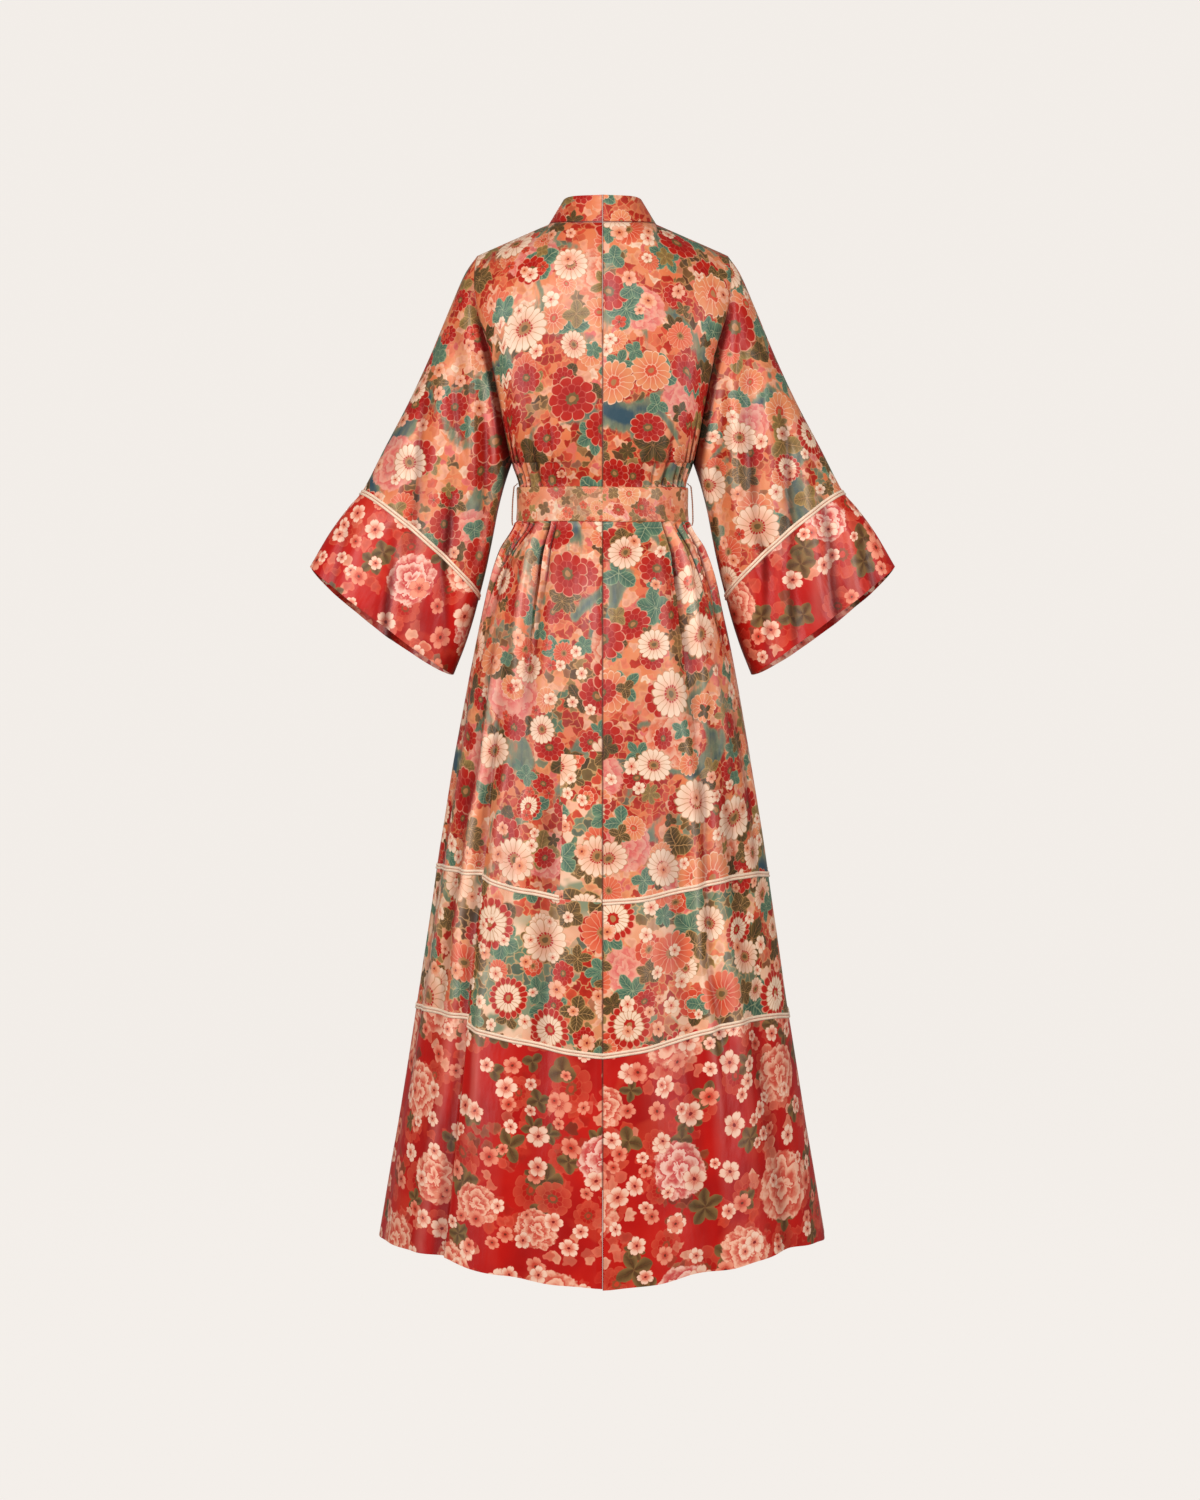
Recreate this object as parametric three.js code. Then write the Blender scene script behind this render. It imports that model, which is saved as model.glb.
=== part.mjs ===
// A long wrap robe in kimono cut, filled out as when it is worn, with nobody in it.
// Millimetres, +Z up. The origin is the middle of the neck base, level with the neck points of the
// shoulders. The front faces -Y, the back +Y, and the wearer's left is +X.
import * as THREE from 'three';

// ---- driving dimensions -------------------------------------------------------------------------
const WALL = 1.8; // cloth with its seam allowances pressed behind it
const SEAM = 0.3; // space between two pieces at a seam
const ROUND = 2.2; // how square the horizontal sections are: 2 is an ellipse
const BACK_COLUMNS = 10; // facets from centre back to the side seam
const FRONT_COLUMNS = 7; // facets from the side seam to the neck band
const YOKE_ROWS = 10; // facets up the armhole, and half those round the sleeve
const NECK_COLUMNS = 4; // of the back's columns, those that end at the neck

const UNDERARM_Z = -317;
const BELT_TOP = -349;
const BELT_BOTTOM = -395;
const NECK_HALF = 72; // side neck point
const NECK_BACK = 62; // how far the neck seam lies behind the middle at centre back
const NECK_DROP = 4; // how far the back neck seam dips at centre back
const SHOULDER_X = 168; // shoulder point, where the sleeve begins
const SHOULDER_Z = -41;
const ARMHOLE_DEPTH = 50; // the armhole's half depth front to back
const BAND_WIDTH = 37; // neck band
const OVERLAP_RAISE = 4.2; // the upper front clears the lower one by this where they cross
const OVERLAP_RAISE_HEM = 8.5; // and by this in the skirt
const PIPING_WIDTH = 6.5;
const PIPING_THICK = 1.4;
const BELT_THICK = 2.4;
const BELT_END_LENGTH = 400;
const LOOP_THICK = 2.2;

// Horizontal sections of the body: half width, depth behind and depth in front of the middle.
const BODY = [
  { z: -1400, half: 315, back: 212, front: 198 },
  { z: -1131, half: 268.6, back: 193, front: 170 },
  { z: -918, half: 234.6, back: 174.5, front: 149 },
  { z: -709, half: 201.8, back: 153, front: 127 },
  { z: -598, half: 180.5, back: 140, front: 116 },
  { z: -516, half: 161.4, back: 126, front: 106 },
  { z: -475, half: 150.2, back: 115, front: 100 },
  { z: -434, half: 135.7, back: 99, front: 93 },
  { z: -395, half: 114.5, back: 79, front: 84 },
  { z: -372, half: 113.2, back: 77, front: 83 },
  { z: -349, half: 113.6, back: 78, front: 84 },
  { z: -317, half: 123, back: 88, front: 91 },
  { z: -240, half: 137, back: 98, front: 100 },
  { z: -170, half: 151, back: 100, front: 99 },
  { z: -100, half: 168, back: 96, front: 88 },
  { z: -40, half: 168, back: 88, front: 70 },
  { z: 0, half: 168, back: 84, front: 64 },
];

// The armhole seam seen from the back.
const ARMHOLE = [
  { z: -317, x: 123 },
  { z: -274, x: 131 },
  { z: -234, x: 138 },
  { z: -169, x: 151 },
  { z: -106, x: 168 },
  { z: -75, x: 171 },
  { z: -41, x: 168 },
];

// The seam of the neck band on each front: its distance from the middle, positive on its own side.
const FRONT_EDGE = [
  { z: -1400, x: -92 },
  { z: -900, x: -75 },
  { z: -500, x: -58 },
  { z: -395, x: -50 },
  { z: -349, x: -44 },
  { z: -317, x: -32 },
  { z: -240, x: -2 },
  { z: -160, x: 29 },
  { z: -80, x: 56 },
  { z: -40, x: 66 },
  { z: 0, x: 72 },
];

// The two piped seams and the hem, round the skirt from centre back (0) to centre front (180).
const LEVELS = [
  { angle: 0, seam1left: -890, seam1right: -890, seam2left: -1092, seam2right: -1092, hem: -1401 },
  { angle: 12, seam1left: -886, seam1right: -886, seam2left: -1084, seam2right: -1082, hem: -1395 },
  { angle: 22, seam1left: -879, seam1right: -880, seam2left: -1076, seam2right: -1073, hem: -1387 },
  { angle: 33, seam1left: -871, seam1right: -873, seam2left: -1067, seam2right: -1063, hem: -1381 },
  { angle: 45, seam1left: -861, seam1right: -868, seam2left: -1056, seam2right: -1058, hem: -1376 },
  { angle: 60, seam1left: -860, seam1right: -868, seam2left: -1052, seam2right: -1060, hem: -1377 },
  { angle: 90, seam1left: -868, seam1right: -879, seam2left: -1064, seam2right: -1076, hem: -1392 },
  { angle: 135, seam1left: -874, seam1right: -880, seam2left: -1070, seam2right: -1076, hem: -1391 },
  { angle: 180, seam1left: -882, seam1right: -882, seam2left: -1080, seam2right: -1080, hem: -1396 },
  { angle: 270, seam1left: -882, seam1right: -882, seam2left: -1080, seam2right: -1080, hem: -1396 },
];

// The largest folds below the belt. Angle goes round from centre back, positive to the left.
// Depth is outwards, so a trough is negative.
const FOLDS = [
  { angle: 33, turn: -2, top: -398, bottom: -700, wide: 6, depth: -9 },
  { angle: -40, turn: 4, top: -398, bottom: -720, wide: 6, depth: -9 },
  { angle: 61, turn: 10, top: -398, bottom: -620, wide: 6, depth: -6 },
  { angle: -68, turn: -6, top: -398, bottom: -640, wide: 6, depth: -6 },
  { angle: 44, turn: -2, top: -600, bottom: -1500, wide: 6, depth: -9 },
  { angle: 17, turn: 0, top: -640, bottom: -1500, wide: 8, depth: -7 },
  { angle: -22, turn: -2, top: -700, bottom: -1500, wide: 8, depth: -8 },
  { angle: -52, turn: -2, top: -650, bottom: -1500, wide: 7, depth: -8 },
  { angle: 108, turn: 0, top: -420, bottom: -1500, wide: 9, depth: -8 },
  { angle: -112, turn: 0, top: -430, bottom: -1500, wide: 9, depth: -7 },
  { angle: 143, turn: 3, top: -430, bottom: -1500, wide: 9, depth: -7 },
  { angle: -140, turn: -3, top: -430, bottom: -1500, wide: 9, depth: -7 },
];

// Rings of the sleeve from the armhole to the hem: the point on its outer and on its inner edge, its
// half depth behind and in front, how far the ring's middle is drawn up behind, and how much lower
// the front half hangs.
const SLEEVE = [
  { outX: 168, outZ: -41, inX: 123, inZ: -317, back: 50, front: 50, bow: 0, drop: 0 },
  { outX: 183, outZ: -62, inX: 126, inZ: -325, back: 57, front: 56, bow: 1, drop: 0 },
  { outX: 206, outZ: -112, inX: 133, inZ: -346, back: 64, front: 62, bow: 3, drop: 0 },
  { outX: 231, outZ: -170, inX: 142, inZ: -380, back: 66, front: 64, bow: 6, drop: 0 },
  { outX: 260, outZ: -231, inX: 150, inZ: -420, back: 64, front: 62, bow: 9, drop: 0 },
  { outX: 295, outZ: -296, inX: 159, inZ: -462, back: 60, front: 58, bow: 12, drop: 2 },
  { outX: 328, outZ: -357, inX: 168.5, inZ: -499, back: 56, front: 54, bow: 14, drop: 5 },
  { outX: 345, outZ: -376, inX: 176, inZ: -527, back: 54, front: 54, bow: 10, drop: 9 },
  { outX: 370, outZ: -409, inX: 188, inZ: -564, back: 54, front: 54, bow: 5, drop: 14 },
  { outX: 398.5, outZ: -456, inX: 204, inZ: -604, back: 56, front: 56, bow: 0, drop: 20 },
];
const CUFF_RING = 6; // the ring that the piping lies on

const COLOUR = {
  body: { color: 0xd9a184, roughness: 0.45, metalness: 0 },
  mid: { color: 0xcdb79b, roughness: 0.45, metalness: 0 },
  red: { color: 0xb8281f, roughness: 0.45, metalness: 0 },
  piping: { color: 0xe8dcc8, roughness: 0.5, metalness: 0 },
  belt: { color: 0xd28a72, roughness: 0.45, metalness: 0 },
  thread: { color: 0xc98a70, roughness: 0.7, metalness: 0 },
};

// ---- tables and small sums ----------------------------------------------------------------------
const clamp = (v, a, b) => Math.min(b, Math.max(a, v));
const lerp = (a, b, t) => a + (b - a) * t;
const smooth = (a, b, v) => {
  const t = clamp((v - a) / (b - a), 0, 1);
  return t * t * (3 - 2 * t);
};

// Reads a column of a table at a key, along a curve that passes through its rows without overshoot.
function column(table, key, name) {
  const x = table.map((row) => row[key]);
  const y = table.map((row) => row[name]);
  const n = x.length;
  const h = [];
  const s = [];
  for (let i = 0; i < n - 1; i++) {
    h.push(x[i + 1] - x[i]);
    s.push((y[i + 1] - y[i]) / h[i]);
  }
  const m = [s[0]];
  for (let i = 1; i < n - 1; i++) {
    if (s[i - 1] * s[i] <= 0) m.push(0);
    else {
      const a = 2 * h[i] + h[i - 1];
      const b = h[i] + 2 * h[i - 1];
      m.push((a + b) / (a / s[i - 1] + b / s[i]));
    }
  }
  m.push(s[n - 2]);
  return (v) => {
    const q = clamp(v, x[0], x[n - 1]);
    let i = 0;
    while (i < n - 2 && q > x[i + 1]) i++;
    const t = (q - x[i]) / h[i];
    const t2 = t * t;
    const t3 = t2 * t;
    return (
      (2 * t3 - 3 * t2 + 1) * y[i] +
      (t3 - 2 * t2 + t) * h[i] * m[i] +
      (-2 * t3 + 3 * t2) * y[i + 1] +
      (t3 - t2) * h[i] * m[i + 1]
    );
  };
}

const half = column(BODY, 'z', 'half');
const backDepth = column(BODY, 'z', 'back');
const frontDepth = column(BODY, 'z', 'front');
const armholeX = column(ARMHOLE, 'z', 'x');
const edgeX = column(FRONT_EDGE, 'z', 'x');
const level = {
  seam1: { 1: column(LEVELS, 'angle', 'seam1left'), '-1': column(LEVELS, 'angle', 'seam1right') },
  seam2: { 1: column(LEVELS, 'angle', 'seam2left'), '-1': column(LEVELS, 'angle', 'seam2right') },
  hem: { 1: column(LEVELS, 'angle', 'hem'), '-1': column(LEVELS, 'angle', 'hem') },
};

const V = (x, y, z) => new THREE.Vector3(x, y, z);

// ---- the body's surface -------------------------------------------------------------------------
// Every side is worked out as the left one; side is 1 for left and -1 for right, and only changes
// which folds and levels it meets.
const foldAt = (turned, z) => {
  const angle = turned > 180 ? turned - 360 : turned < -180 ? turned + 360 : turned;
  let sum = 0;
  for (const f of FOLDS) {
    const along = (f.top - z) / (f.top - f.bottom);
    if (along <= 0) continue;
    const grow = smooth(0, 0.25, along) * (f.bottom < -1450 ? 1 : 1 - smooth(0.55, 1, along));
    const away = angle - (f.angle + f.turn * along);
    sum += f.depth * grow * Math.exp(-((away / f.wide) ** 2));
  }
  return sum;
};

// How far the upper front stands off the lower one, by angle round the waist.
const raiseAt = (z) => lerp(OVERLAP_RAISE, OVERLAP_RAISE_HEM, 1 - smooth(-760, -430, z));
const raiseByAngle = (angle, z) => raiseAt(z) * smooth(98, 126, angle);

// A point below the underarm: angle from centre back round to centre front and past it.
function skirtPoint(side, angle, z, over) {
  const a = half(z);
  const s = Math.sin(THREE.MathUtils.degToRad(angle));
  const c = Math.cos(THREE.MathUtils.degToRad(angle));
  const e = 2 / ROUND;
  const depth = c >= 0 ? backDepth(z) : frontDepth(z);
  const p = V(a * Math.sign(s) * Math.abs(s) ** e, depth * Math.sign(c) * Math.abs(c) ** e, z);
  const out = V(p.x / (a * a), p.y / (depth * depth), 0).normalize();
  let lift = foldAt(side * angle, z);
  if (over) lift += raiseByAngle(angle, z);
  return p.addScaledVector(out, lift);
}

// The angle at which a section crosses a given distance from the middle, on the front.
const frontAngle = (x, z) => {
  const r = clamp(x / half(z), -1, 1);
  const a = THREE.MathUtils.radToDeg(Math.asin(Math.sign(r) * Math.abs(r) ** (ROUND / 2)));
  return 180 - a;
};

const shoulderLine = (x) =>
  x < NECK_HALF
    ? -NECK_DROP * (1 - (x / NECK_HALF) ** 2)
    : (SHOULDER_Z * (x - NECK_HALF)) / (SHOULDER_X - NECK_HALF);

// The depth of the yoke at a place seen from the back or the front.
function yokeDepth(x, z, depth, fall, neck) {
  const zc = Math.min(z, SHOULDER_Z);
  const t = clamp((z - UNDERARM_Z) / 110, 0, 1);
  const edge = ARMHOLE_DEPTH * Math.sqrt(Math.max(0, 1 - (1 - t) ** 2));
  const r = clamp(Math.abs(x) / armholeX(zc), 0, 1);
  const flat = edge + (depth(z) - edge) * Math.max(0, 1 - r ** ROUND) ** (1 / ROUND);
  const rim = neck && x < NECK_HALF ? NECK_BACK * Math.sqrt(Math.max(0, 1 - (x / NECK_HALF) ** 2)) : 0;
  const down = clamp((shoulderLine(Math.abs(x)) - z) / fall, 0, 1);
  const g = Math.max(0, 1 - (1 - down) ** 2.2) ** (1 / 2.2);
  return rim + (flat - rim) * g;
}

const raiseInYoke = (x, z) => OVERLAP_RAISE * (1 - smooth(72, 98, x)) * (1 - smooth(-140, -60, z));

const frontYoke = (x, z, over) =>
  V(x, -yokeDepth(x, z, frontDepth, 130, false) - (over ? raiseInYoke(x, z) : 0), z);

// Rows of the yoke are closest together at the underarm and the shoulder.
const rise = (k) => (1 - Math.cos((Math.PI * k) / YOKE_ROWS)) / 2;
const armholePoint = (k) => {
  const z = lerp(UNDERARM_Z, SHOULDER_Z, rise(k));
  return { x: armholeX(z), z };
};

// Rows below the underarm, each as a height for an angle.
const between = (from, to, t) => (side, angle) => lerp(from(side, angle), to(side, angle), t);
const flatLevel = (z) => () => z;
const seamLevel = (name, off) => (side, angle) => level[name][side](angle) + off;
const waistDown = flatLevel(BELT_BOTTOM);
const UPPER_ROWS = [
  flatLevel(-333),
  flatLevel(BELT_TOP),
  flatLevel(-372),
  flatLevel(BELT_BOTTOM),
  flatLevel(-414),
  flatLevel(-438),
  flatLevel(-480),
  flatLevel(-540),
  flatLevel(-630),
  between(flatLevel(-630), seamLevel('seam1', 4), 0.5),
  seamLevel('seam1', 4),
  seamLevel('seam1', 0),
];
const MID_ROWS = [
  seamLevel('seam1', -4),
  between(seamLevel('seam1', -4), seamLevel('seam2', 4), 0.5),
  seamLevel('seam2', 4),
  seamLevel('seam2', 0),
];
const HEM_ROWS = [
  seamLevel('seam2', -4),
  between(seamLevel('seam2', -4), seamLevel('hem', 0), 0.33),
  between(seamLevel('seam2', -4), seamLevel('hem', 0), 0.67),
  seamLevel('hem', 0),
];
const LOWER_ROWS = [...UPPER_ROWS, ...MID_ROWS, ...HEM_ROWS];
const SEAM1_ROW = YOKE_ROWS + UPPER_ROWS.length;
const SEAM2_ROW = SEAM1_ROW + MID_ROWS.length;
const HEM_ROW = SEAM2_ROW + HEM_ROWS.length;

// ---- grids: rows from the top down, columns round the body --------------------------------------
function backGrid(side) {
  const rows = [];
  const bottom = [];
  for (let i = 0; i <= BACK_COLUMNS; i++)
    bottom.push(skirtPoint(side, (90 * i) / BACK_COLUMNS, UNDERARM_Z, false));
  const top = [];
  for (let i = 0; i <= BACK_COLUMNS; i++) {
    const x =
      i <= NECK_COLUMNS
        ? NECK_HALF * Math.sin((Math.PI / 2) * (i / NECK_COLUMNS))
        : lerp(NECK_HALF, SHOULDER_X, (i - NECK_COLUMNS) / (BACK_COLUMNS - NECK_COLUMNS));
    top.push(V(x, 0, shoulderLine(x)));
  }
  for (let k = YOKE_ROWS; k >= 0; k--) {
    const v = rise(k);
    const arm = armholePoint(k);
    const row = [];
    for (let i = 0; i <= BACK_COLUMNS; i++) {
      const u = bottom[i].x / bottom[BACK_COLUMNS].x;
      const cx = lerp(bottom[BACK_COLUMNS].x, top[BACK_COLUMNS].x, v);
      const cz = lerp(UNDERARM_Z, SHOULDER_Z, v);
      const x = lerp(bottom[i].x, top[i].x, v) + u * (arm.x - cx);
      const z = lerp(UNDERARM_Z, top[i].z, v) + u * (arm.z - cz);
      row.push(V(x, yokeDepth(x, z, backDepth, 110, true), z));
    }
    rows.push(row);
  }
  for (const at of LOWER_ROWS) {
    const row = [];
    for (let i = 0; i <= BACK_COLUMNS; i++) {
      const angle = (90 * i) / BACK_COLUMNS;
      row.push(skirtPoint(side, angle, at(side, angle), false));
    }
    rows.push(row);
  }
  return rows;
}

// The neck band stands up at the neck and turns to lie on the chest.
const BAND_LEAN = V(-0.66, 0, 0.75); // across the band at the side neck point
const BAND_LEAN_BACK = V(0, -0.19, 0.98); // and at centre back

function bandAcross(z) {
  const step = 2;
  const dx = edgeX(z + step) - edgeX(z - step);
  const across = V(-2 * step, 0, dx).normalize();
  return across.lerp(V(-1, 0, 0), 1 - smooth(UNDERARM_Z, -200, z)).normalize();
}

// Columns from the side to the band's seam, then the band's free edge.
function frontGrid(side, over) {
  const rows = [];
  for (let k = YOKE_ROWS; k >= 0; k--) {
    const arm = armholePoint(k);
    const z0 = lerp(UNDERARM_Z, 0, rise(k));
    const x0 = edgeX(z0);
    const row = [];
    for (let i = 0; i <= FRONT_COLUMNS; i++) {
      const angle = 90 + (90 * i) / FRONT_COLUMNS;
      const even = i / FRONT_COLUMNS;
      const t = lerp(even, 1 - Math.sin(THREE.MathUtils.degToRad(angle)) ** 0.9, 0.5);
      const x = lerp(arm.x, x0, i === FRONT_COLUMNS ? 1 : lerp(t, even, smooth(-250, -100, z0)));
      const z = lerp(arm.z, z0, i === FRONT_COLUMNS ? 1 : lerp(t, even, smooth(-250, -100, z0)));
      row.push(frontYoke(x, z, over));
    }
    const across = bandAcross(z0);
    const laid = frontYoke(x0 + across.x * BAND_WIDTH, z0 + across.z * BAND_WIDTH, over);
    const stood = row[FRONT_COLUMNS].clone().addScaledVector(BAND_LEAN, BAND_WIDTH);
    const w = smooth(0, -100, z0);
    for (const part of [0.5, 1]) {
      const flat = frontYoke(x0 + across.x * BAND_WIDTH * part, Math.min(z0 + across.z * BAND_WIDTH * part, -1), over);
      const up = row[FRONT_COLUMNS].clone().lerp(stood, part);
      row.push(up.lerp(part === 1 ? (laid.z < -1 ? laid : flat) : flat, w));
    }
    rows.push(row);
  }
  for (const at of LOWER_ROWS) {
    const row = [];
    const zEdge = at(side, 180);
    const last = frontAngle(edgeX(zEdge), zEdge);
    for (let i = 0; i <= FRONT_COLUMNS; i++) {
      const angle = lerp(90, last, i / FRONT_COLUMNS);
      row.push(skirtPoint(side, angle, at(side, angle), over));
    }
    for (const part of [0.5, 1]) {
      const angle = frontAngle(edgeX(zEdge) - BAND_WIDTH * part, zEdge);
      row.push(skirtPoint(side, angle, at(side, angle), over));
    }
    rows.push(row);
  }
  return rows;
}

// Ring points of the sleeve: half of them down its back from the shoulder, the rest up its front.
function sleeveGrid(backRows, frontRows) {
  const around = 2 * YOKE_ROWS;
  const rows = [];
  const armhole = [];
  for (let j = 0; j < around; j++)
    armhole.push(j <= YOKE_ROWS ? backRows[j][BACK_COLUMNS].clone() : frontRows[around - j][0].clone());
  SLEEVE.forEach((ring, s) => {
    const outer = V(ring.outX, 0, ring.outZ);
    const inner = V(ring.inX, 0, ring.inZ);
    const mid = outer.clone().lerp(inner, 0.5);
    const reach = outer.clone().sub(inner).multiplyScalar(0.5);
    const along = V(-reach.z, 0, reach.x).normalize().multiplyScalar(-1); // towards the hem
    const first = SLEEVE[0];
    const m0 = V((first.outX + first.inX) / 2, 0, (first.outZ + first.inZ) / 2);
    const r0 = V((first.outX - first.inX) / 2, 0, (first.outZ - first.inZ) / 2);
    const a0 = V(-r0.z, 0, r0.x).normalize().multiplyScalar(-1);
    const w = smooth(0, 3, s);
    const row = [];
    for (let j = 0; j < around; j++) {
      const q = armhole[j].clone().sub(m0);
      const c0 = q.dot(r0) / r0.lengthSq();
      const l0 = q.dot(a0);
      const turn = (2 * Math.PI * j) / around;
      const c = Math.cos(turn);
      const sn = Math.sin(turn);
      const depth = sn >= 0 ? ring.back : ring.front;
      const y = depth * Math.sign(sn) * Math.abs(sn) ** 0.85;
      const lengthwise = (sn >= 0 ? -ring.bow : ring.drop) * Math.abs(sn);
      const p = mid
        .clone()
        .addScaledVector(reach, lerp(c0, c, w))
        .addScaledVector(along, lerp(l0, lengthwise, w));
      p.y = s === 0 ? q.y : lerp(q.y * (ring.back / first.back), y, w);
      row.push(p);
    }
    rows.push(row);
  });
  return rows;
}

// ---- from grids to closed walls -----------------------------------------------------------------
function normalsOf(rows, closed) {
  const R = rows.length;
  const C = rows[0].length;
  return rows.map((row, j) =>
    row.map((_, i) => {
      const up = rows[Math.max(0, j - 1)][i];
      const down = rows[Math.min(R - 1, j + 1)][i];
      const left = closed ? row[(i + C - 1) % C] : row[Math.max(0, i - 1)];
      const right = closed ? row[(i + 1) % C] : row[Math.min(C - 1, i + 1)];
      const n = new THREE.Vector3().crossVectors(
        new THREE.Vector3().subVectors(down, up),
        new THREE.Vector3().subVectors(right, left),
      );
      return n.normalize();
    }),
  );
}

// A closed wall between a grid moved out along its normals and the same grid moved in.
function wall(rows, normals, { out = 0, thick = WALL, closed = false, mirror = false }) {
  const R = rows.length;
  const C = rows[0].length;
  const position = [];
  const put = (p, n, d) => position.push(p.x + n.x * d, p.y + n.y * d, p.z + n.z * d);
  for (let j = 0; j < R; j++) for (let i = 0; i < C; i++) put(rows[j][i], normals[j][i], out);
  for (let j = 0; j < R; j++) for (let i = 0; i < C; i++) put(rows[j][i], normals[j][i], out - thick);
  const O = (j, i) => j * C + (closed ? i % C : i);
  const I = (j, i) => R * C + O(j, i);
  const faces = [];
  const quad = (a, b, c, d) => faces.push([a, b, c], [a, c, d]);
  const wide = closed ? C : C - 1;
  for (let j = 0; j < R - 1; j++)
    for (let i = 0; i < wide; i++) {
      quad(O(j, i), O(j + 1, i), O(j + 1, i + 1), O(j, i + 1));
      quad(I(j, i), I(j, i + 1), I(j + 1, i + 1), I(j + 1, i));
    }
  for (let i = 0; i < wide; i++) {
    quad(O(0, i), O(0, i + 1), I(0, i + 1), I(0, i));
    quad(O(R - 1, i), I(R - 1, i), I(R - 1, i + 1), O(R - 1, i + 1));
  }
  if (!closed)
    for (let j = 0; j < R - 1; j++) {
      quad(O(j, 0), I(j, 0), I(j + 1, 0), O(j + 1, 0));
      quad(O(j, C - 1), O(j + 1, C - 1), I(j + 1, C - 1), I(j, C - 1));
    }
  if (mirror) for (let k = 0; k < position.length; k += 3) position[k] = -position[k];
  let volume = 0;
  const at = (k) => V(position[3 * k], position[3 * k + 1], position[3 * k + 2]);
  for (const [a, b, c] of faces) volume += at(a).dot(at(b).cross(at(c)));
  if (volume < 0) for (const f of faces) f.reverse();
  const geometry = new THREE.BufferGeometry();
  geometry.setAttribute('position', new THREE.Float32BufferAttribute(position, 3));
  geometry.setIndex(faces.flat());
  geometry.computeVertexNormals();
  return geometry;
}

const slice = (rows, from, to, c0, c1) => rows.slice(from, to + 1).map((row) => row.slice(c0, c1 + 1).map((p) => p.clone()));

// Draws the first or last row of a slice back by half a seam, towards the row beside it.
function trimRow(rows, last, by = SEAM / 2) {
  const j = last ? rows.length - 1 : 0;
  const k = last ? j - 1 : 1;
  rows[j].forEach((p, i) => {
    const d = new THREE.Vector3().subVectors(rows[k][i], p);
    p.addScaledVector(d.normalize(), by);
  });
  return rows;
}

function trimColumn(rows, last, by = SEAM / 2) {
  rows.forEach((row) => {
    const i = last ? row.length - 1 : 0;
    const k = last ? i - 1 : 1;
    const d = new THREE.Vector3().subVectors(row[k], row[i]);
    row[i].addScaledVector(d.normalize(), by);
  });
  return rows;
}

const robe = new THREE.Group();
function add(name, geometry, finish) {
  const mesh = new THREE.Mesh(geometry, new THREE.MeshStandardMaterial(finish));
  mesh.name = name;
  robe.add(mesh);
}

// A strip that lies over a seam row of a grid: the seam's points and points a little above and below.
function pipingOver(rows, normals, seamRow, c0, c1, mirror) {
  const share = PIPING_WIDTH / 2 / 4;
  const strip = [];
  const lean = [];
  for (const [j, k] of [
    [seamRow, seamRow - 1],
    [seamRow, seamRow],
    [seamRow, seamRow + 1],
  ]) {
    strip.push(rows[j].slice(c0, c1 + 1).map((p, i) => p.clone().lerp(rows[k][c0 + i], share)));
    lean.push(
      normals[j].slice(c0, c1 + 1).map((n, i) => n.clone().lerp(normals[k][c0 + i], share).normalize()),
    );
  }
  return wall(strip, lean, { out: SEAM + PIPING_THICK, thick: PIPING_THICK, mirror });
}

const sideNormal = (z) => V(1, 0, -(half(z + 1) - half(z - 1)) / 2).normalize();
const shoulderNormal = V(-SHOULDER_Z, 0, SHOULDER_X - NECK_HALF).normalize();

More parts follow.
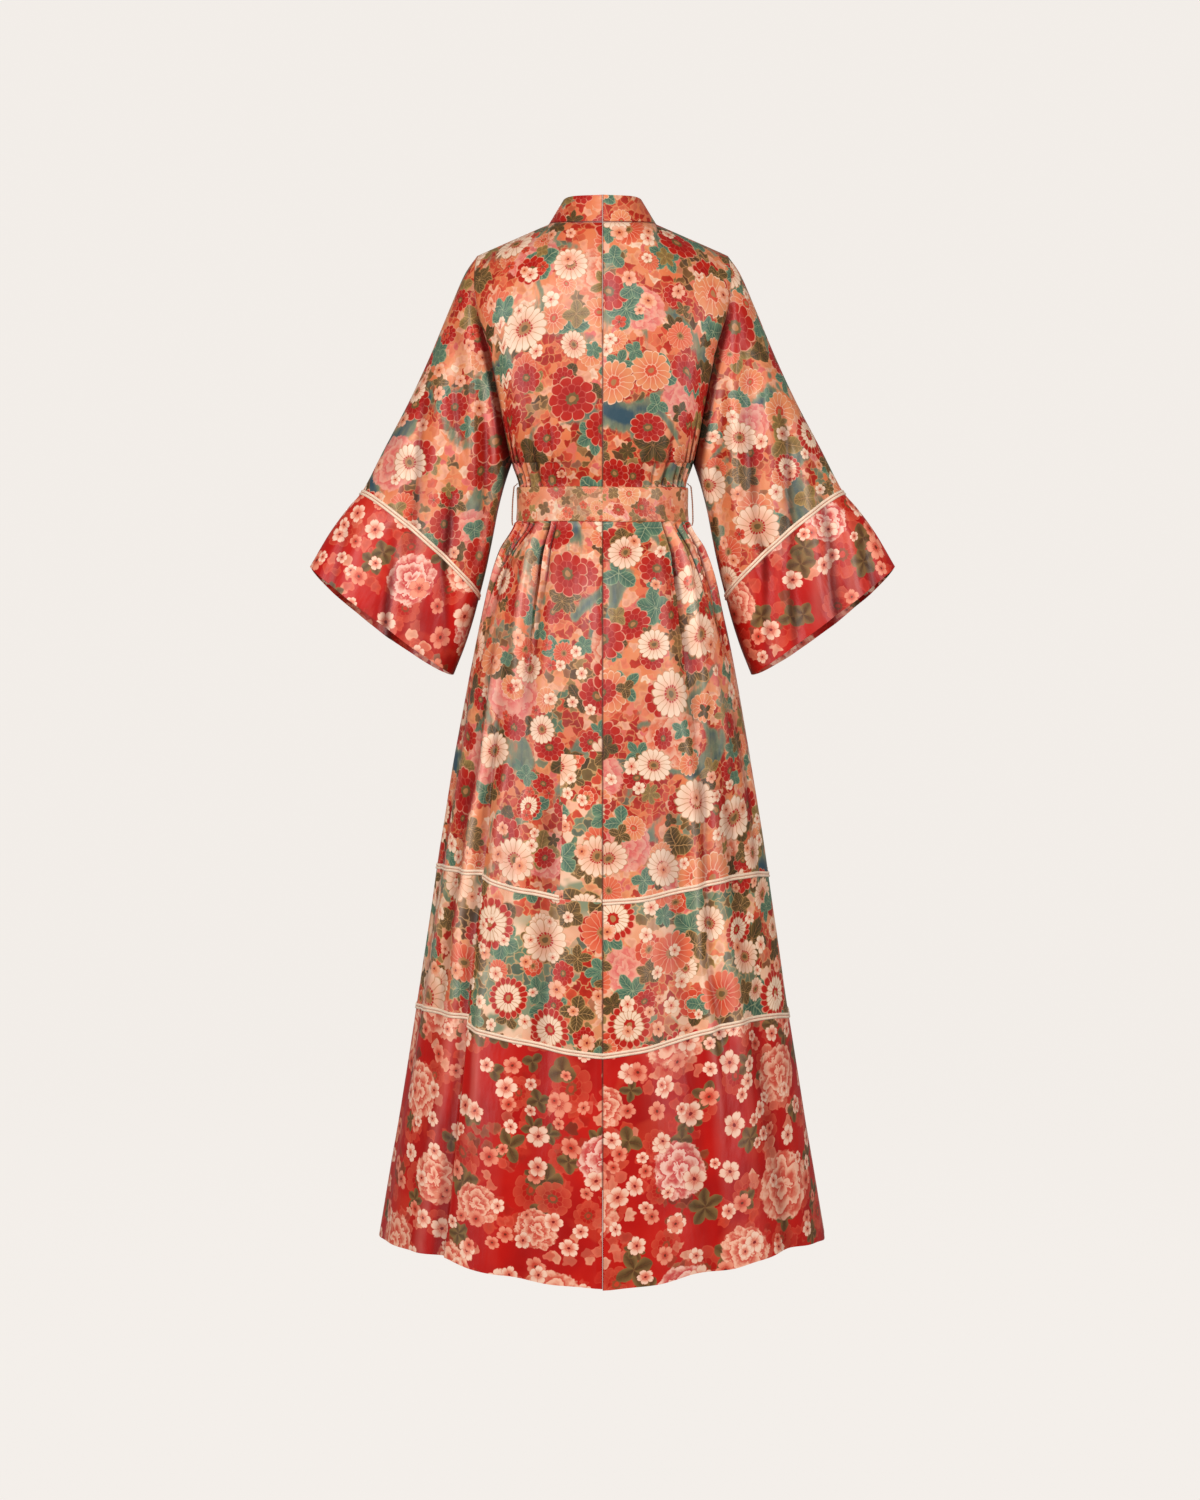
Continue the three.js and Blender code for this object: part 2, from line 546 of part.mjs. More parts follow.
for (const side of [1, -1]) {
  const name = side === 1 ? 'left' : 'right';
  const mirror = side === -1;
  const over = side === 1; // the left front lies over the right one
  const back = backGrid(side);
  const front = frontGrid(side, over);
  const sleeve = sleeveGrid(back, front);
  const backN = normalsOf(back, false);
  const frontN = normalsOf(front, false);
  const sleeveN = normalsOf(sleeve, true);
  const flip = (grid) => grid.forEach((row) => row.forEach((n) => n.negate()));
  if (backN[5][2].y < 0) flip(backN);
  if (frontN[5][2].y > 0) flip(frontN);
  if (sleeveN[3][5].y < 0) flip(sleeveN);

  // Pieces that meet at a seam share their direction there, so their walls stay apart.
  const F = FRONT_COLUMNS;
  const B = BACK_COLUMNS;
  for (let j = 0; j < back.length; j++) {
    backN[j][0].setX(0).normalize();
    if (j > YOKE_ROWS) {
      backN[j][B].copy(sideNormal(back[j][B].z));
      frontN[j][0].copy(backN[j][B]);
    }
  }
  for (let i = NECK_COLUMNS; i < B; i++) backN[0][i].copy(shoulderNormal);
  for (let i = 1; i <= F; i++) frontN[0][i].copy(shoulderNormal);
  for (let j = 0; j <= YOKE_ROWS; j++) {
    const shared = backN[j][B].clone().add(sleeveN[0][j]);
    if (j === 0 || j === YOKE_ROWS) shared.add(frontN[j][0]).setY(0);
    shared.normalize();
    backN[j][B].copy(shared);
    sleeveN[0][j].copy(shared);
    if (j === 0 || j === YOKE_ROWS) frontN[j][0].copy(shared);
    else {
      const other = frontN[j][0].clone().add(sleeveN[0][2 * YOKE_ROWS - j]).normalize();
      frontN[j][0].copy(other);
      sleeveN[0][2 * YOKE_ROWS - j].copy(other);
    }
  }

  // Neck band: from centre back round the neck and down the front edge to the hem.
  const band = [];
  for (let k = 0; k < NECK_COLUMNS; k++) {
    const turn = (Math.PI / 2) * (k / NECK_COLUMNS);
    const x = NECK_HALF * Math.sin(turn);
    const seamPoint = V(x, NECK_BACK * Math.cos(turn), shoulderLine(x));
    const lean = BAND_LEAN_BACK.clone().lerp(BAND_LEAN, Math.sin(turn) ** 2).normalize();
    lean.y -= 0.12 * Math.sin(2 * turn);
    lean.normalize();
    band.push([0, 0.5, 1].map((t) => seamPoint.clone().addScaledVector(lean, BAND_WIDTH * t)));
  }
  for (const row of front) band.push(row.slice(F, F + 3).map((p) => p.clone()));
  const bandN = normalsOf(band, false);
  for (const n of bandN[0]) n.setX(0).normalize();
  if (bandN[1][1].y < 0) flip(bandN);
  for (let j = 1; j < front.length; j++) bandN[NECK_COLUMNS + j][0].copy(frontN[j][F]);
  for (let k = 0; k <= NECK_COLUMNS; k++) {
    const shared = backN[0][k].clone().add(bandN[k][0]).normalize();
    backN[0][k].copy(shared);
    bandN[k][0].copy(shared);
  }

  // Back panels: centre-back seam, side seam and shoulder seam are each drawn back by half a seam.
  const tiers = [
    ['upper', 0, SEAM1_ROW, COLOUR.body],
    ['mid', SEAM1_ROW, SEAM2_ROW, COLOUR.mid],
    ['hem', SEAM2_ROW, HEM_ROW, COLOUR.red],
  ];
  for (const [tier, from, to, finish] of tiers) {
    const b = slice(back, from, to, 0, B);
    const f = slice(front, from, to, 0, F);
    if (from > 0) {
      trimRow(b, false);
      trimRow(f, false);
    }
    if (to < HEM_ROW) {
      trimRow(b, true);
      trimRow(f, true);
    }
    trimColumn(b, false);
    trimColumn(f, true);
    if (tier === 'upper') {
      b[0].forEach((p, i) => (p.y += i < NECK_COLUMNS ? 0 : SEAM / 2));
      f[0].forEach((p) => (p.y -= SEAM / 2));
      trimRow(b.slice(0, 2).map((row) => row.slice(0, NECK_COLUMNS)), false);
      b.forEach((row, j) => (j > YOKE_ROWS ? (row[B].y += SEAM / 2) : 0));
      f.forEach((row, j) => (j > YOKE_ROWS ? (row[0].y -= SEAM / 2) : 0));
      b[YOKE_ROWS][B].y += SEAM / 2;
      f[YOKE_ROWS][0].y -= SEAM / 2;
    } else {
      b.forEach((row) => (row[B].y += SEAM / 2));
      f.forEach((row) => (row[0].y -= SEAM / 2));
    }
    add(`back_${name}_${tier}`, wall(b, slice(backN, from, to, 0, B), { mirror }), finish);
    add(`front_${name}_${tier}`, wall(f, slice(frontN, from, to, 0, F), { mirror }), finish);
  }

  // Neck band, drawn back by half a seam at centre back and along the panels.
  trimRow(band, false);
  trimColumn(band, false, SEAM / 2);
  for (let k = 0; k <= NECK_COLUMNS; k++) band[k][0].z += SEAM;
  add(`neckband_${name}`, wall(band, bandN, { mirror }), COLOUR.body);

  // Sleeve and cuff are one tube cut at the cuff seam.
  const upperSleeve = slice(sleeve, 0, CUFF_RING, 0, 2 * YOKE_ROWS - 1);
  trimRow(upperSleeve, false, SEAM + 0.1);
  upperSleeve[0].forEach((p, j) => {
    p.x += 0.7 * Math.sin((Math.PI * j) / (2 * YOKE_ROWS)) ** 8; // clear of the side seam's top
  });
  trimRow(upperSleeve, true);
  const cuff = trimRow(slice(sleeve, CUFF_RING, SLEEVE.length - 1, 0, 2 * YOKE_ROWS - 1), false);
  add(
    `sleeve_${name}`,
    wall(upperSleeve, slice(sleeveN, 0, CUFF_RING, 0, 2 * YOKE_ROWS - 1), { closed: true, mirror }),
    COLOUR.body,
  );
  add(
    `cuff_${name}`,
    wall(cuff, slice(sleeveN, CUFF_RING, SLEEVE.length - 1, 0, 2 * YOKE_ROWS - 1), { closed: true, mirror }),
    COLOUR.red,
  );

  // Piping, moved out from the points of the panels that it lies on.
  const ringShare = (k) =>
    sleeve[CUFF_RING].map((p, i) => {
      const d = new THREE.Vector3().subVectors(sleeve[k][i], p);
      return p.clone().addScaledVector(d.normalize(), PIPING_WIDTH / 2);
    });
  add(
    `piping_sleeve_${name}`,
    wall(
      [ringShare(CUFF_RING - 1), sleeve[CUFF_RING], ringShare(CUFF_RING + 1)],
      [sleeveN[CUFF_RING], sleeveN[CUFF_RING], sleeveN[CUFF_RING]],
      { out: SEAM + 0.2 + PIPING_THICK, thick: PIPING_THICK, closed: true, mirror },
    ),
    COLOUR.piping,
  );
  const trimmedBack = back.map((row) => row.map((p) => p.clone()));
  trimColumn(trimmedBack, false);
  trimmedBack.forEach((row) => (row[B].y += SEAM / 2));
  const trimmedFront = front.map((row) => row.map((p) => p.clone()));
  trimmedFront.forEach((row) => (row[0].y -= SEAM / 2));
  const firstColumn = side === 1 ? 1 : 0; // on the left the first piping stops short of centre back
  add(`piping_back_${name}_1`, pipingOver(trimmedBack, backN, SEAM1_ROW, firstColumn, B, mirror), COLOUR.piping);
  add(`piping_back_${name}_2`, pipingOver(trimmedBack, backN, SEAM2_ROW, 0, B, mirror), COLOUR.piping);
  add(`piping_front_${name}_1`, pipingOver(trimmedFront, frontN, SEAM1_ROW, 0, F, mirror), COLOUR.piping);
  add(`piping_front_${name}_2`, pipingOver(trimmedFront, frontN, SEAM2_ROW, 0, F, mirror), COLOUR.piping);
}

// ---- sash ---------------------------------------------------------------------------------------
const BELT_COLUMNS = 40;
const beltPoint = (turn, z) => {
  const signed = turn > 180 ? turn - 360 : turn;
  const angle = Math.abs(signed);
  const p = skirtPoint(1, angle, z, true);
  return V(signed < 0 ? -p.x : p.x, p.y, z);
};
const beltRows = [BELT_TOP, -372, BELT_BOTTOM].map((z) => {
  const row = [];
  for (let i = 0; i < BELT_COLUMNS; i++) row.push(beltPoint((360 * i) / BELT_COLUMNS, z));
  return row;
});
const beltN = beltRows.map((row) => row.map((p) => V(p.x / 113 ** 2, p.y / 81 ** 2, 0).normalize()));
add('belt', wall(beltRows, beltN, { out: BELT_THICK + 0.9, thick: BELT_THICK, closed: true }), COLOUR.belt);

const KNOT = { x: 14, width: 52, height: 50, depth: 26 };
const knotFace = skirtPoint(1, frontAngle(KNOT.x, -372), -372, true).y - BELT_THICK - 2.6;
const knotShape = new THREE.Shape();
knotShape.moveTo(-KNOT.width / 2, -KNOT.height / 2 + 12);
knotShape.quadraticCurveTo(-KNOT.width / 2, -KNOT.height / 2, -KNOT.width / 2 + 14, -KNOT.height / 2);
knotShape.lineTo(KNOT.width / 2 - 12, -KNOT.height / 2);
knotShape.quadraticCurveTo(KNOT.width / 2, -KNOT.height / 2, KNOT.width / 2, -KNOT.height / 2 + 14);
knotShape.lineTo(KNOT.width / 2 - 5, KNOT.height / 2 - 8);
knotShape.quadraticCurveTo(KNOT.width / 2 - 8, KNOT.height / 2, KNOT.width / 2 - 18, KNOT.height / 2);
knotShape.lineTo(-KNOT.width / 2 + 12, KNOT.height / 2);
knotShape.quadraticCurveTo(-KNOT.width / 2, KNOT.height / 2, -KNOT.width / 2, KNOT.height / 2 - 12);
const knotGeometry = new THREE.ExtrudeGeometry(knotShape, {
  depth: KNOT.depth - 8,
  bevelEnabled: true,
  bevelThickness: 4,
  bevelSize: 4,
  bevelOffset: -4,
  bevelSegments: 1,
  curveSegments: 3,
});
knotGeometry.rotateX(Math.PI / 2); // its face looks to the front, its height along Z
knotGeometry.translate(KNOT.x, knotFace - 4, -372);
add('belt_knot', knotGeometry, COLOUR.belt);

// The sash's free ends hang from the knot, just clear of the skirt and of each other.
for (const end of [
  { name: 'belt_end_left', x: 40, slant: 0.1, off: 8, length: BELT_END_LENGTH },
  { name: 'belt_end_right', x: -14, slant: -0.08, off: 8, length: BELT_END_LENGTH - 25 },
]) {
  const top = -372 - KNOT.height / 2 - 1;
  const rows = [];
  const steps = 10;
  for (let j = 0; j <= steps; j++) {
    const z = top - (end.length * j) / steps;
    const row = [];
    for (const across of [-1, 0, 1]) {
      const x = end.x + end.slant * (top - z) + across * 22;
      row.push(V(x, -frontDepth(z) - raiseAt(z) - end.off, z));
    }
    rows.push(row);
  }
  const n = rows.map((row) => row.map(() => V(0, -1, 0)));
  add(end.name, wall(rows, n, { out: 2, thick: 2 }), COLOUR.belt);
}

// Thread loops at the side seams, bowed out round the sash.
for (const side of [1, -1]) {
  const points = [];
  const outX = half(-372) + BELT_THICK + 4.2;
  const steps = 8;
  for (let k = 0; k <= steps; k++) {
    const t = k / steps;
    const z = lerp(BELT_TOP + 5, BELT_BOTTOM - 6, t);
    const bow = Math.sin(Math.PI * t) ** 0.5;
    points.push(V(side * (outX + 1.6 + 2.4 * bow), 0, z));
  }
  const path = new THREE.CatmullRomCurve3(points);
  const section = new THREE.Shape();
  for (let k = 0; k < 6; k++) {
    const a = (2 * Math.PI * k) / 6;
    const x = (LOOP_THICK / 2) * Math.cos(a);
    const y = (LOOP_THICK / 2) * Math.sin(a);
    if (k === 0) section.moveTo(x, y);
    else section.lineTo(x, y);
  }
  const loop = new THREE.ExtrudeGeometry(section, { steps: 10, bevelEnabled: false, extrudePath: path });
  add(side === 1 ? 'belt_loop_left' : 'belt_loop_right', loop, COLOUR.thread);
}

export default robe;
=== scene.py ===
"""A long satin wrap robe in kimono cut, filled out as when it is worn, seen from behind."""

import math

import bpy
import numpy as np
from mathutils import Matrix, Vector


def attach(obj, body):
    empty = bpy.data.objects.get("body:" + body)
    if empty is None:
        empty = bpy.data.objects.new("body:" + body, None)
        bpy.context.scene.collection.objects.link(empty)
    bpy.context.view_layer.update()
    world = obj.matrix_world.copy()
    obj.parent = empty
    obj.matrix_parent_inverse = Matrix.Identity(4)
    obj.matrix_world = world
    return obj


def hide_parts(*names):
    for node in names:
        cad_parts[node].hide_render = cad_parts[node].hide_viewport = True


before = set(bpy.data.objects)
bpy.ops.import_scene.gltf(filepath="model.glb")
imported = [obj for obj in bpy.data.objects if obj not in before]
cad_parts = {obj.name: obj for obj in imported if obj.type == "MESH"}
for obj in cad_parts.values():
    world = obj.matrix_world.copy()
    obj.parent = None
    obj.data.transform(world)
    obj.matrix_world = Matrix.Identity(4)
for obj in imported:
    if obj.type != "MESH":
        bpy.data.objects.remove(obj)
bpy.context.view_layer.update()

# ------------------------------------------------------------------------------------------------
# Sizes of the robe in millimetres, the same as its solids have
# ------------------------------------------------------------------------------------------------
ROUND = 2.2
UNDERARM_Z, BELT_TOP, BELT_BOTTOM = -317.0, -349.0, -395.0
NECK_HALF, NECK_BACK, NECK_DROP = 72.0, 62.0, 4.0
SHOULDER_X, SHOULDER_Z = 168.0, -41.0
ARMHOLE_DEPTH = 50.0
BAND_WIDTH = 37.0
RAISE, RAISE_HEM = 4.2, 8.5
YOKE_ROWS = 10

# z, half width, depth behind, depth in front
BODY = np.array([
    (-1400, 315, 212, 198), (-1131, 268.6, 193, 170), (-918, 234.6, 174.5, 149),
    (-709, 201.8, 153, 127), (-598, 180.5, 140, 116), (-516, 161.4, 126, 106),
    (-475, 150.2, 115, 100), (-434, 135.7, 99, 93), (-395, 114.5, 79, 84),
    (-372, 113.2, 77, 83), (-349, 113.6, 78, 84), (-317, 123, 88, 91),
    (-240, 137, 98, 100), (-170, 151, 100, 99), (-100, 168, 96, 88),
    (-40, 168, 88, 70), (0, 168, 84, 64)], float)
# z, x
ARMHOLE = np.array([(-317, 123), (-274, 131), (-234, 138), (-169, 151), (-106, 168), (-75, 171), (-41, 168)], float)
# z, x of the neck band's seam on a front
FRONT_EDGE = np.array([
    (-1400, -92), (-900, -75), (-500, -58), (-395, -50), (-349, -44), (-317, -32), (-240, -2),
    (-160, 29), (-80, 56), (-40, 66), (0, 72)], float)
# angle, first seam left and right, second seam left and right, hem
LEVELS = np.array([
    (0, -890, -890, -1092, -1092, -1401), (12, -886, -886, -1084, -1082, -1395),
    (22, -879, -880, -1076, -1073, -1387), (33, -871, -873, -1067, -1063, -1381),
    (45, -861, -868, -1056, -1058, -1376), (60, -860, -868, -1052, -1060, -1377),
    (90, -868, -879, -1064, -1076, -1392), (135, -874, -880, -1070, -1076, -1391),
    (180, -882, -882, -1080, -1080, -1396), (270, -882, -882, -1080, -1080, -1396)], float)
# Folds of the body. angle (from centre back, + to the left), turn over its length, top, bottom,
# half width in degrees, depth (outwards), share of its length over which it grows
FOLDS = np.array([
    (33, -2, -398, -700, 6, -9, 0.25), (-40, 4, -398, -720, 6, -9, 0.25),
    (61, 10, -398, -620, 6, -6, 0.25), (-68, -6, -398, -640, 6, -6, 0.25),
    (44, -2, -600, -1500, 6, -9, 0.25), (17, 0, -640, -1500, 8, -7, 0.25),
    (-22, -2, -700, -1500, 8, -8, 0.25), (-52, -2, -650, -1500, 7, -8, 0.25),
    (108, 0, -420, -1500, 9, -8, 0.25), (-112, 0, -430, -1500, 9, -7, 0.25),
    (143, 3, -430, -1500, 9, -7, 0.25), (-140, -3, -430, -1500, 9, -7, 0.25)], float)
# Finer creases, which the solids leave out
CREASES = np.array([
    # the ridges beside the two pleats that open below the sash
    (42.5, -6, -394, -660, 3.4, 4.5, 0.06), (-49.0, 6, -394, -680, 3.4, 4.5, 0.06),
    # gathers below the sash
    (29.5, 0, -394, -520, 1.2, -2.6, 0.05), (57.0, 16, -394, -470, 2.2, -8, 0.06),
    (51.0, 12, -394, -452, 1.6, -4.2, 0.06), (47.0, 7, -394, -500, 1.8, 3, 0.06),
    (65.0, 12, -394, -520, 2.4, -6.7, 0.06), (72.0, 7, -394, -560, 2.2, -5.4, 0.06),
    (78.0, 5, -394, -480, 1.8, -4.2, 0.06), (84.0, 2, -394, -610, 2.2, -4.8, 0.06),
    (-52.0, -3, -394, -480, 1.8, -3.8, 0.06), (-58.0, -6, -394, -540, 2.2, -5.8, 0.06),
    (-66.0, -8, -394, -500, 2.0, -6.4, 0.06), (-74.0, -6, -394, -600, 2.4, -7.4, 0.06),
    (-81.0, -4, -394, -470, 1.8, -4.5, 0.06), (-86.0, -1, -394, -560, 2.0, -4.8, 0.06),
    (12.0, 0, -394, -470, 2.0, -1.3, 0.1), (-16.0, 0, -394, -500, 2.4, -1.4, 0.1),
    # long soft folds of the skirt
    (25.0, 1, -560, -1500, 3.6, 3.9, 0.3), (9.0, 1, -720, -1500, 3.8, 3.6, 0.3),
    (38.5, -1, -640, -1500, 2.6, 4.5, 0.2), (51.0, 0, -470, -1500, 3.4, 6.2, 0.15),
    (57.0, 2, -470, -1300, 3.6, -4.4, 0.2), (67.0, 1, -520, -1500, 3.8, 3.4, 0.25),
    (76.0, 2, -560, -1500, 3.4, -4.2, 0.25), (84.0, 0, -600, -1500, 3.0, 2.4, 0.3),
    (-10.0, -1, -640, -1500, 4.2, 3.9, 0.3), (-31.0, -1, -560, -1500, 3.6, 4.5, 0.3),
    (-36.0, 2, -600, -1400, 2.6, -5.6, 0.25), (-43.0, 0, -620, -1500, 3.4, 4.0, 0.25),
    (-54.0, 0, -500, -1300, 4.2, 4.6, 0.2), (-68.0, -2, -560, -1300, 4.0, -3.0, 0.25),
    (-78.0, -1, -540, -1500, 4.0, 2.2, 0.25), (-86.0, -1, -620, -1500, 3.0, -2.6, 0.3),
    # hidden sides and front, made alike
    (96.0, 1, -394, -620, 2.2, -4.8, 0.06), (103.0, 2, -394, -540, 1.8, -3.6, 0.06),
    (113.0, 2, -394, -700, 2.4, -5.3, 0.06), (121.0, 1, -394, -520, 1.8, -3.4, 0.06),
    (131.0, 2, -394, -640, 2.4, -5, 0.06), (150.0, 1, -394, -560, 2.0, -3.1, 0.06),
    (-95.0, -1, -394, -560, 2.0, -4.2, 0.06), (-104.0, -2, -394, -700, 2.4, -5, 0.06),
    (-118.0, -1, -394, -520, 2.0, -3.6, 0.06), (-128.0, -2, -394, -660, 2.2, -4.8, 0.06),
    (-146.0, -1, -394, -560, 2.0, -3.4, 0.06), (98.0, 1, -620, -1500, 3.4, 4.2, 0.3),
    (118.0, 0, -560, -1500, 3.6, 4.5, 0.25), (127.0, 1, -640, -1500, 3.4, -5, 0.3),
    (-100.0, 0, -560, -1500, 3.4, 4.2, 0.25), (-121.0, -1, -520, -1500, 3.6, 4.5, 0.25),
    (-131.0, 0, -640, -1500, 3.4, -4.8, 0.3), (155.0, 0, -600, -1500, 4.0, 3.4, 0.3),
    (-155.0, 0, -620, -1500, 4.0, 3.1, 0.3), (169.0, 0, -700, -1500, 3.6, -3.9, 0.3)], float)
# Pleats that lie over their outer neighbour: angle, turn, top, bottom, how far they drop
PLEATS = np.array([
    (35.0, -4.2, -393, -640, 10.5), (-40.5, 4.6, -393, -700, 10.5), (66.0, 9, -393, -520, 7.0), (-70.0, -7, -393, -540, 7.0),
    (106.0, 2, -393, -620, 9.0), (-112.0, -2, -393, -640, 9.0)], float)
# Creases above the sash: angle, turn (upwards), bottom, top, half width, depth
TUCKS = np.array([
    (66, -3, -350, -262, 2.2, -4.8), (73, -2, -350, -236, 2.4, -5.4), (59, -5, -350, -285, 1.8, -3.3),
    (80, -1, -350, -270, 2.0, -3.9), (46, -4, -350, -225, 3.0, -2.8), (27, 0, -350, -255, 2.6, -1.7),
    (30, 0, -350, -210, 1.2, -1.5),
    (-64, 3, -350, -256, 2.2, -4.8), (-71, 3, -350, -228, 2.4, -5.4), (-57, 5, -350, -290, 1.8, -3.3),
    (-78, 1, -350, -262, 2.0, -4.2), (-44, 3, -350, -215, 3.0, -3.2), (-24, 0, -350, -262, 2.6, -1.7),
    (-33, 0, -350, -290, 1.6, -2),
    (101, 1, -350, -262, 2.2, -4.2), (112, 2, -350, -236, 2.2, -4.2), (127, 2, -350, -270, 2.2, -3.3),
    (-103, -1, -350, -258, 2.2, -4.2), (-115, -2, -350, -240, 2.2, -4.2), (-131, -2, -350, -270, 2.2, -3.3)], float)
# Rings of the sleeve: outer edge x, z; inner edge x, z; half depth behind, in front; bow; drop
SLEEVE = np.array([
    (168, -41, 123, -317, 50, 50, 0, 0), (183, -62, 126, -325, 57, 56, 1, 0),
    (206, -112, 133, -346, 64, 62, 3, 0), (231, -170, 142, -380, 66, 64, 6, 0),
    (260, -231, 150, -420, 64, 62, 9, 0), (295, -296, 159, -462, 60, 58, 12, 2),
    (328, -357, 168.5, -499, 56, 54, 14, 5), (345, -376, 176, -527, 54, 54, 10, 9),
    (370, -409, 188, -564, 54, 54, 5, 14), (398.5, -456, 204, -604, 56, 56, 0, 20)], float)
CUFF_RING = 6


def curve(table, k):
    """The same smooth reading of a table that the solids use."""
    x, y = table[:, 0], table[:, k]
    h = np.diff(x)
    s = np.diff(y) / h
    m = np.empty(len(x))
    m[0], m[-1] = s[0], s[-1]
    for i in range(1, len(x) - 1):
        if s[i - 1] * s[i] <= 0:
            m[i] = 0
        else:
            a, b = 2 * h[i] + h[i - 1], h[i] + 2 * h[i - 1]
            m[i] = (a + b) / (a / s[i - 1] + b / s[i])

    def at(v):
        q = np.clip(np.asarray(v, float), x[0], x[-1])
        i = np.clip(np.searchsorted(x, q, side="left") - 1, 0, len(x) - 2)
        t = (q - x[i]) / h[i]
        return ((2 * t**3 - 3 * t**2 + 1) * y[i] + (t**3 - 2 * t**2 + t) * h[i] * m[i]
                + (-2 * t**3 + 3 * t**2) * y[i + 1] + (t**3 - t**2) * h[i] * m[i + 1])

    return at


half, back_depth, front_depth = (curve(BODY, k) for k in (1, 2, 3))
armhole_x = curve(ARMHOLE, 1)
edge_x = curve(FRONT_EDGE, 1)
LEVEL = {("seam1", 1): curve(LEVELS, 1), ("seam1", -1): curve(LEVELS, 2),
         ("seam2", 1): curve(LEVELS, 3), ("seam2", -1): curve(LEVELS, 4),
         ("hem", 1): curve(LEVELS, 5), ("hem", -1): curve(LEVELS, 5)}


def smooth(a, b, v):
    t = np.clip((v - a) / (b - a), 0, 1)
    return t * t * (3 - 2 * t)


def lerp(a, b, t):
    return a + (b - a) * t


def waves(p, seeds, size):
    """Slow uneven swell for creases, from a few sines of fixed phases."""
    total = 0
    for k, (fx, fz, ph) in enumerate(seeds):
        total = total + np.sin(p[0] / size * fx + p[1] / size * fz + ph) / (1 + 0.35 * k)
    return total / 2.2


SEEDS = [(1.0, 0.35, 0.4), (0.6, -0.9, 2.1), (1.7, 0.8, 4.4), (2.3, -0.4, 1.2), (0.4, 1.6, 5.3)]


def swell(table, angle, z, fine):
    total = np.zeros(np.broadcast(angle, z).shape)
    for ang, turn, top, bottom, wide, depth, grow in table:
        along = (top - z) / (top - bottom)
        g = smooth(0, grow, along)
        if bottom > -1450:
            g = g * (1 - smooth(0.45, 1, along))
        away = angle - (ang + turn * np.clip(along, 0, 1))
        # fine creases wander and vary along their length
        if fine:
            away = away + 1.1 * np.sin(z / 61.0 + ang) + 0.6 * np.sin(z / 23.0 + 2 * ang)
            g = g * (0.82 + 0.3 * np.sin(z / 83.0 + 1.7 * ang)) * (1 - 0.6 * smooth(-960, -1200, z))
        total = total + np.where(along > 0, depth * g * np.exp(-((away / wide) ** 2)), 0)
    return total


def pleats(a, z):
    """Cloth that steps down sharply on the outer side of a pleat's edge and rises slowly again."""
    total = 0.0
    for ang, turn, top, bottom, drop in PLEATS:
        along = np.clip((top - z) / (top - bottom), 0, 1)
        g = (1 - smooth(0.25, 1, along)) * (z < top + 2)
        line = ang + turn * along + 0.35 * np.sin(z / 37.0 + ang)
        out = (a - line) * np.sign(ang)
        lip = 0.28 * np.exp(np.clip(out, -40, 0) / 5.0)
        deep = lip - np.exp(-np.clip(out, 0, 60) / 2.3) + 0.3 * np.exp(-(((out - 8) / 3.6) ** 2))
        total = total + drop * g * lerp(lip, deep, smooth(-0.35, 0.35, out))
    return total


def wrap(angle):
    return np.where(angle > 180, angle - 360, np.where(angle < -180, angle + 360, angle))


def lift_at(signed, z):
    """How far the cloth stands off its plain section at a signed angle."""
    a = wrap(signed)
    out = swell(FOLDS, a, z, False) + swell(CREASES, a, z, True) + pleats(a, z)
    for ang, turn, bottom, top, wide, depth in TUCKS:
        along = (z - bottom) / (top - bottom)
        g = (1 - smooth(0.2, 1, along)) * smooth(-0.1, 0.05, along)
        away = a - (ang + turn * np.clip(along, 0, 1)) + 0.5 * np.sin(z / 17.0 + ang)
        out = out + depth * g * np.exp(-((away / wide) ** 2))
    # the edge of the pleat at the left, from the first seam's height down to the hem
    edge = 43.4 - 1.5 * smooth(-880, -1390, z)
    step = smooth(edge + 0.9, edge - 0.5, a) * np.exp(-(np.clip(edge - a, 0, 90) / 17.0) ** 2)
    out = out + 6.5 * step * smooth(-600, -840, z)
    # centre-back seam, pressed open
    out = out - 1.5 * np.exp(-((a / (0.75 + 0.25 * smooth(-400, -1200, z) * 0)) ** 2)) * smooth(0, -20, z)
    # a slow swell of the whole cloth
    out = out + 0.9 * waves((a * 2.4, z), SEEDS, 46.0) * smooth(-330, -470, z) * (1 - 0.8 * np.exp(-((a - 90) / 6) ** 2) - 0.8 * np.exp(-((a + 90) / 6) ** 2))
    return out


def raise_at(z):
    return lerp(RAISE, RAISE_HEM, 1 - smooth(-760, -430, z))


def skirt(side, angle, z, over, plain=False):
    angle, z = np.broadcast_arrays(np.asarray(angle, float), np.asarray(z, float))
    a = half(z)
    s, c = np.sin(np.radians(angle)), np.cos(np.radians(angle))
    e = 2 / ROUND
    depth = np.where(c >= 0, back_depth(z), front_depth(z))
    x = a * np.sign(s) * np.abs(s) ** e
    y = depth * np.sign(c) * np.abs(c) ** e
    ox, oy = x / a**2, y / depth**2
    n = np.hypot(ox, oy)
    lift = swell(FOLDS, wrap(side * angle), z, False) if plain else lift_at(side * angle, z)
    # where the sash binds the cloth it lies flat under it
    if not plain:
        bound = smooth(BELT_BOTTOM - 3, BELT_BOTTOM + 2, z) * (1 - smooth(BELT_TOP - 2, BELT_TOP + 3, z))
        lift = lift * (1 - 0.75 * bound) - 0.6 * bound
    if over:
        lift = lift + raise_at(z) * smooth(98, 126, angle)
    return np.stack([x + ox / n * lift, y + oy / n * lift, z], -1)


def front_angle(x, z):
    r = np.clip(x / half(z), -1, 1)
    return 180 - np.degrees(np.arcsin(np.sign(r) * np.abs(r) ** (ROUND / 2)))


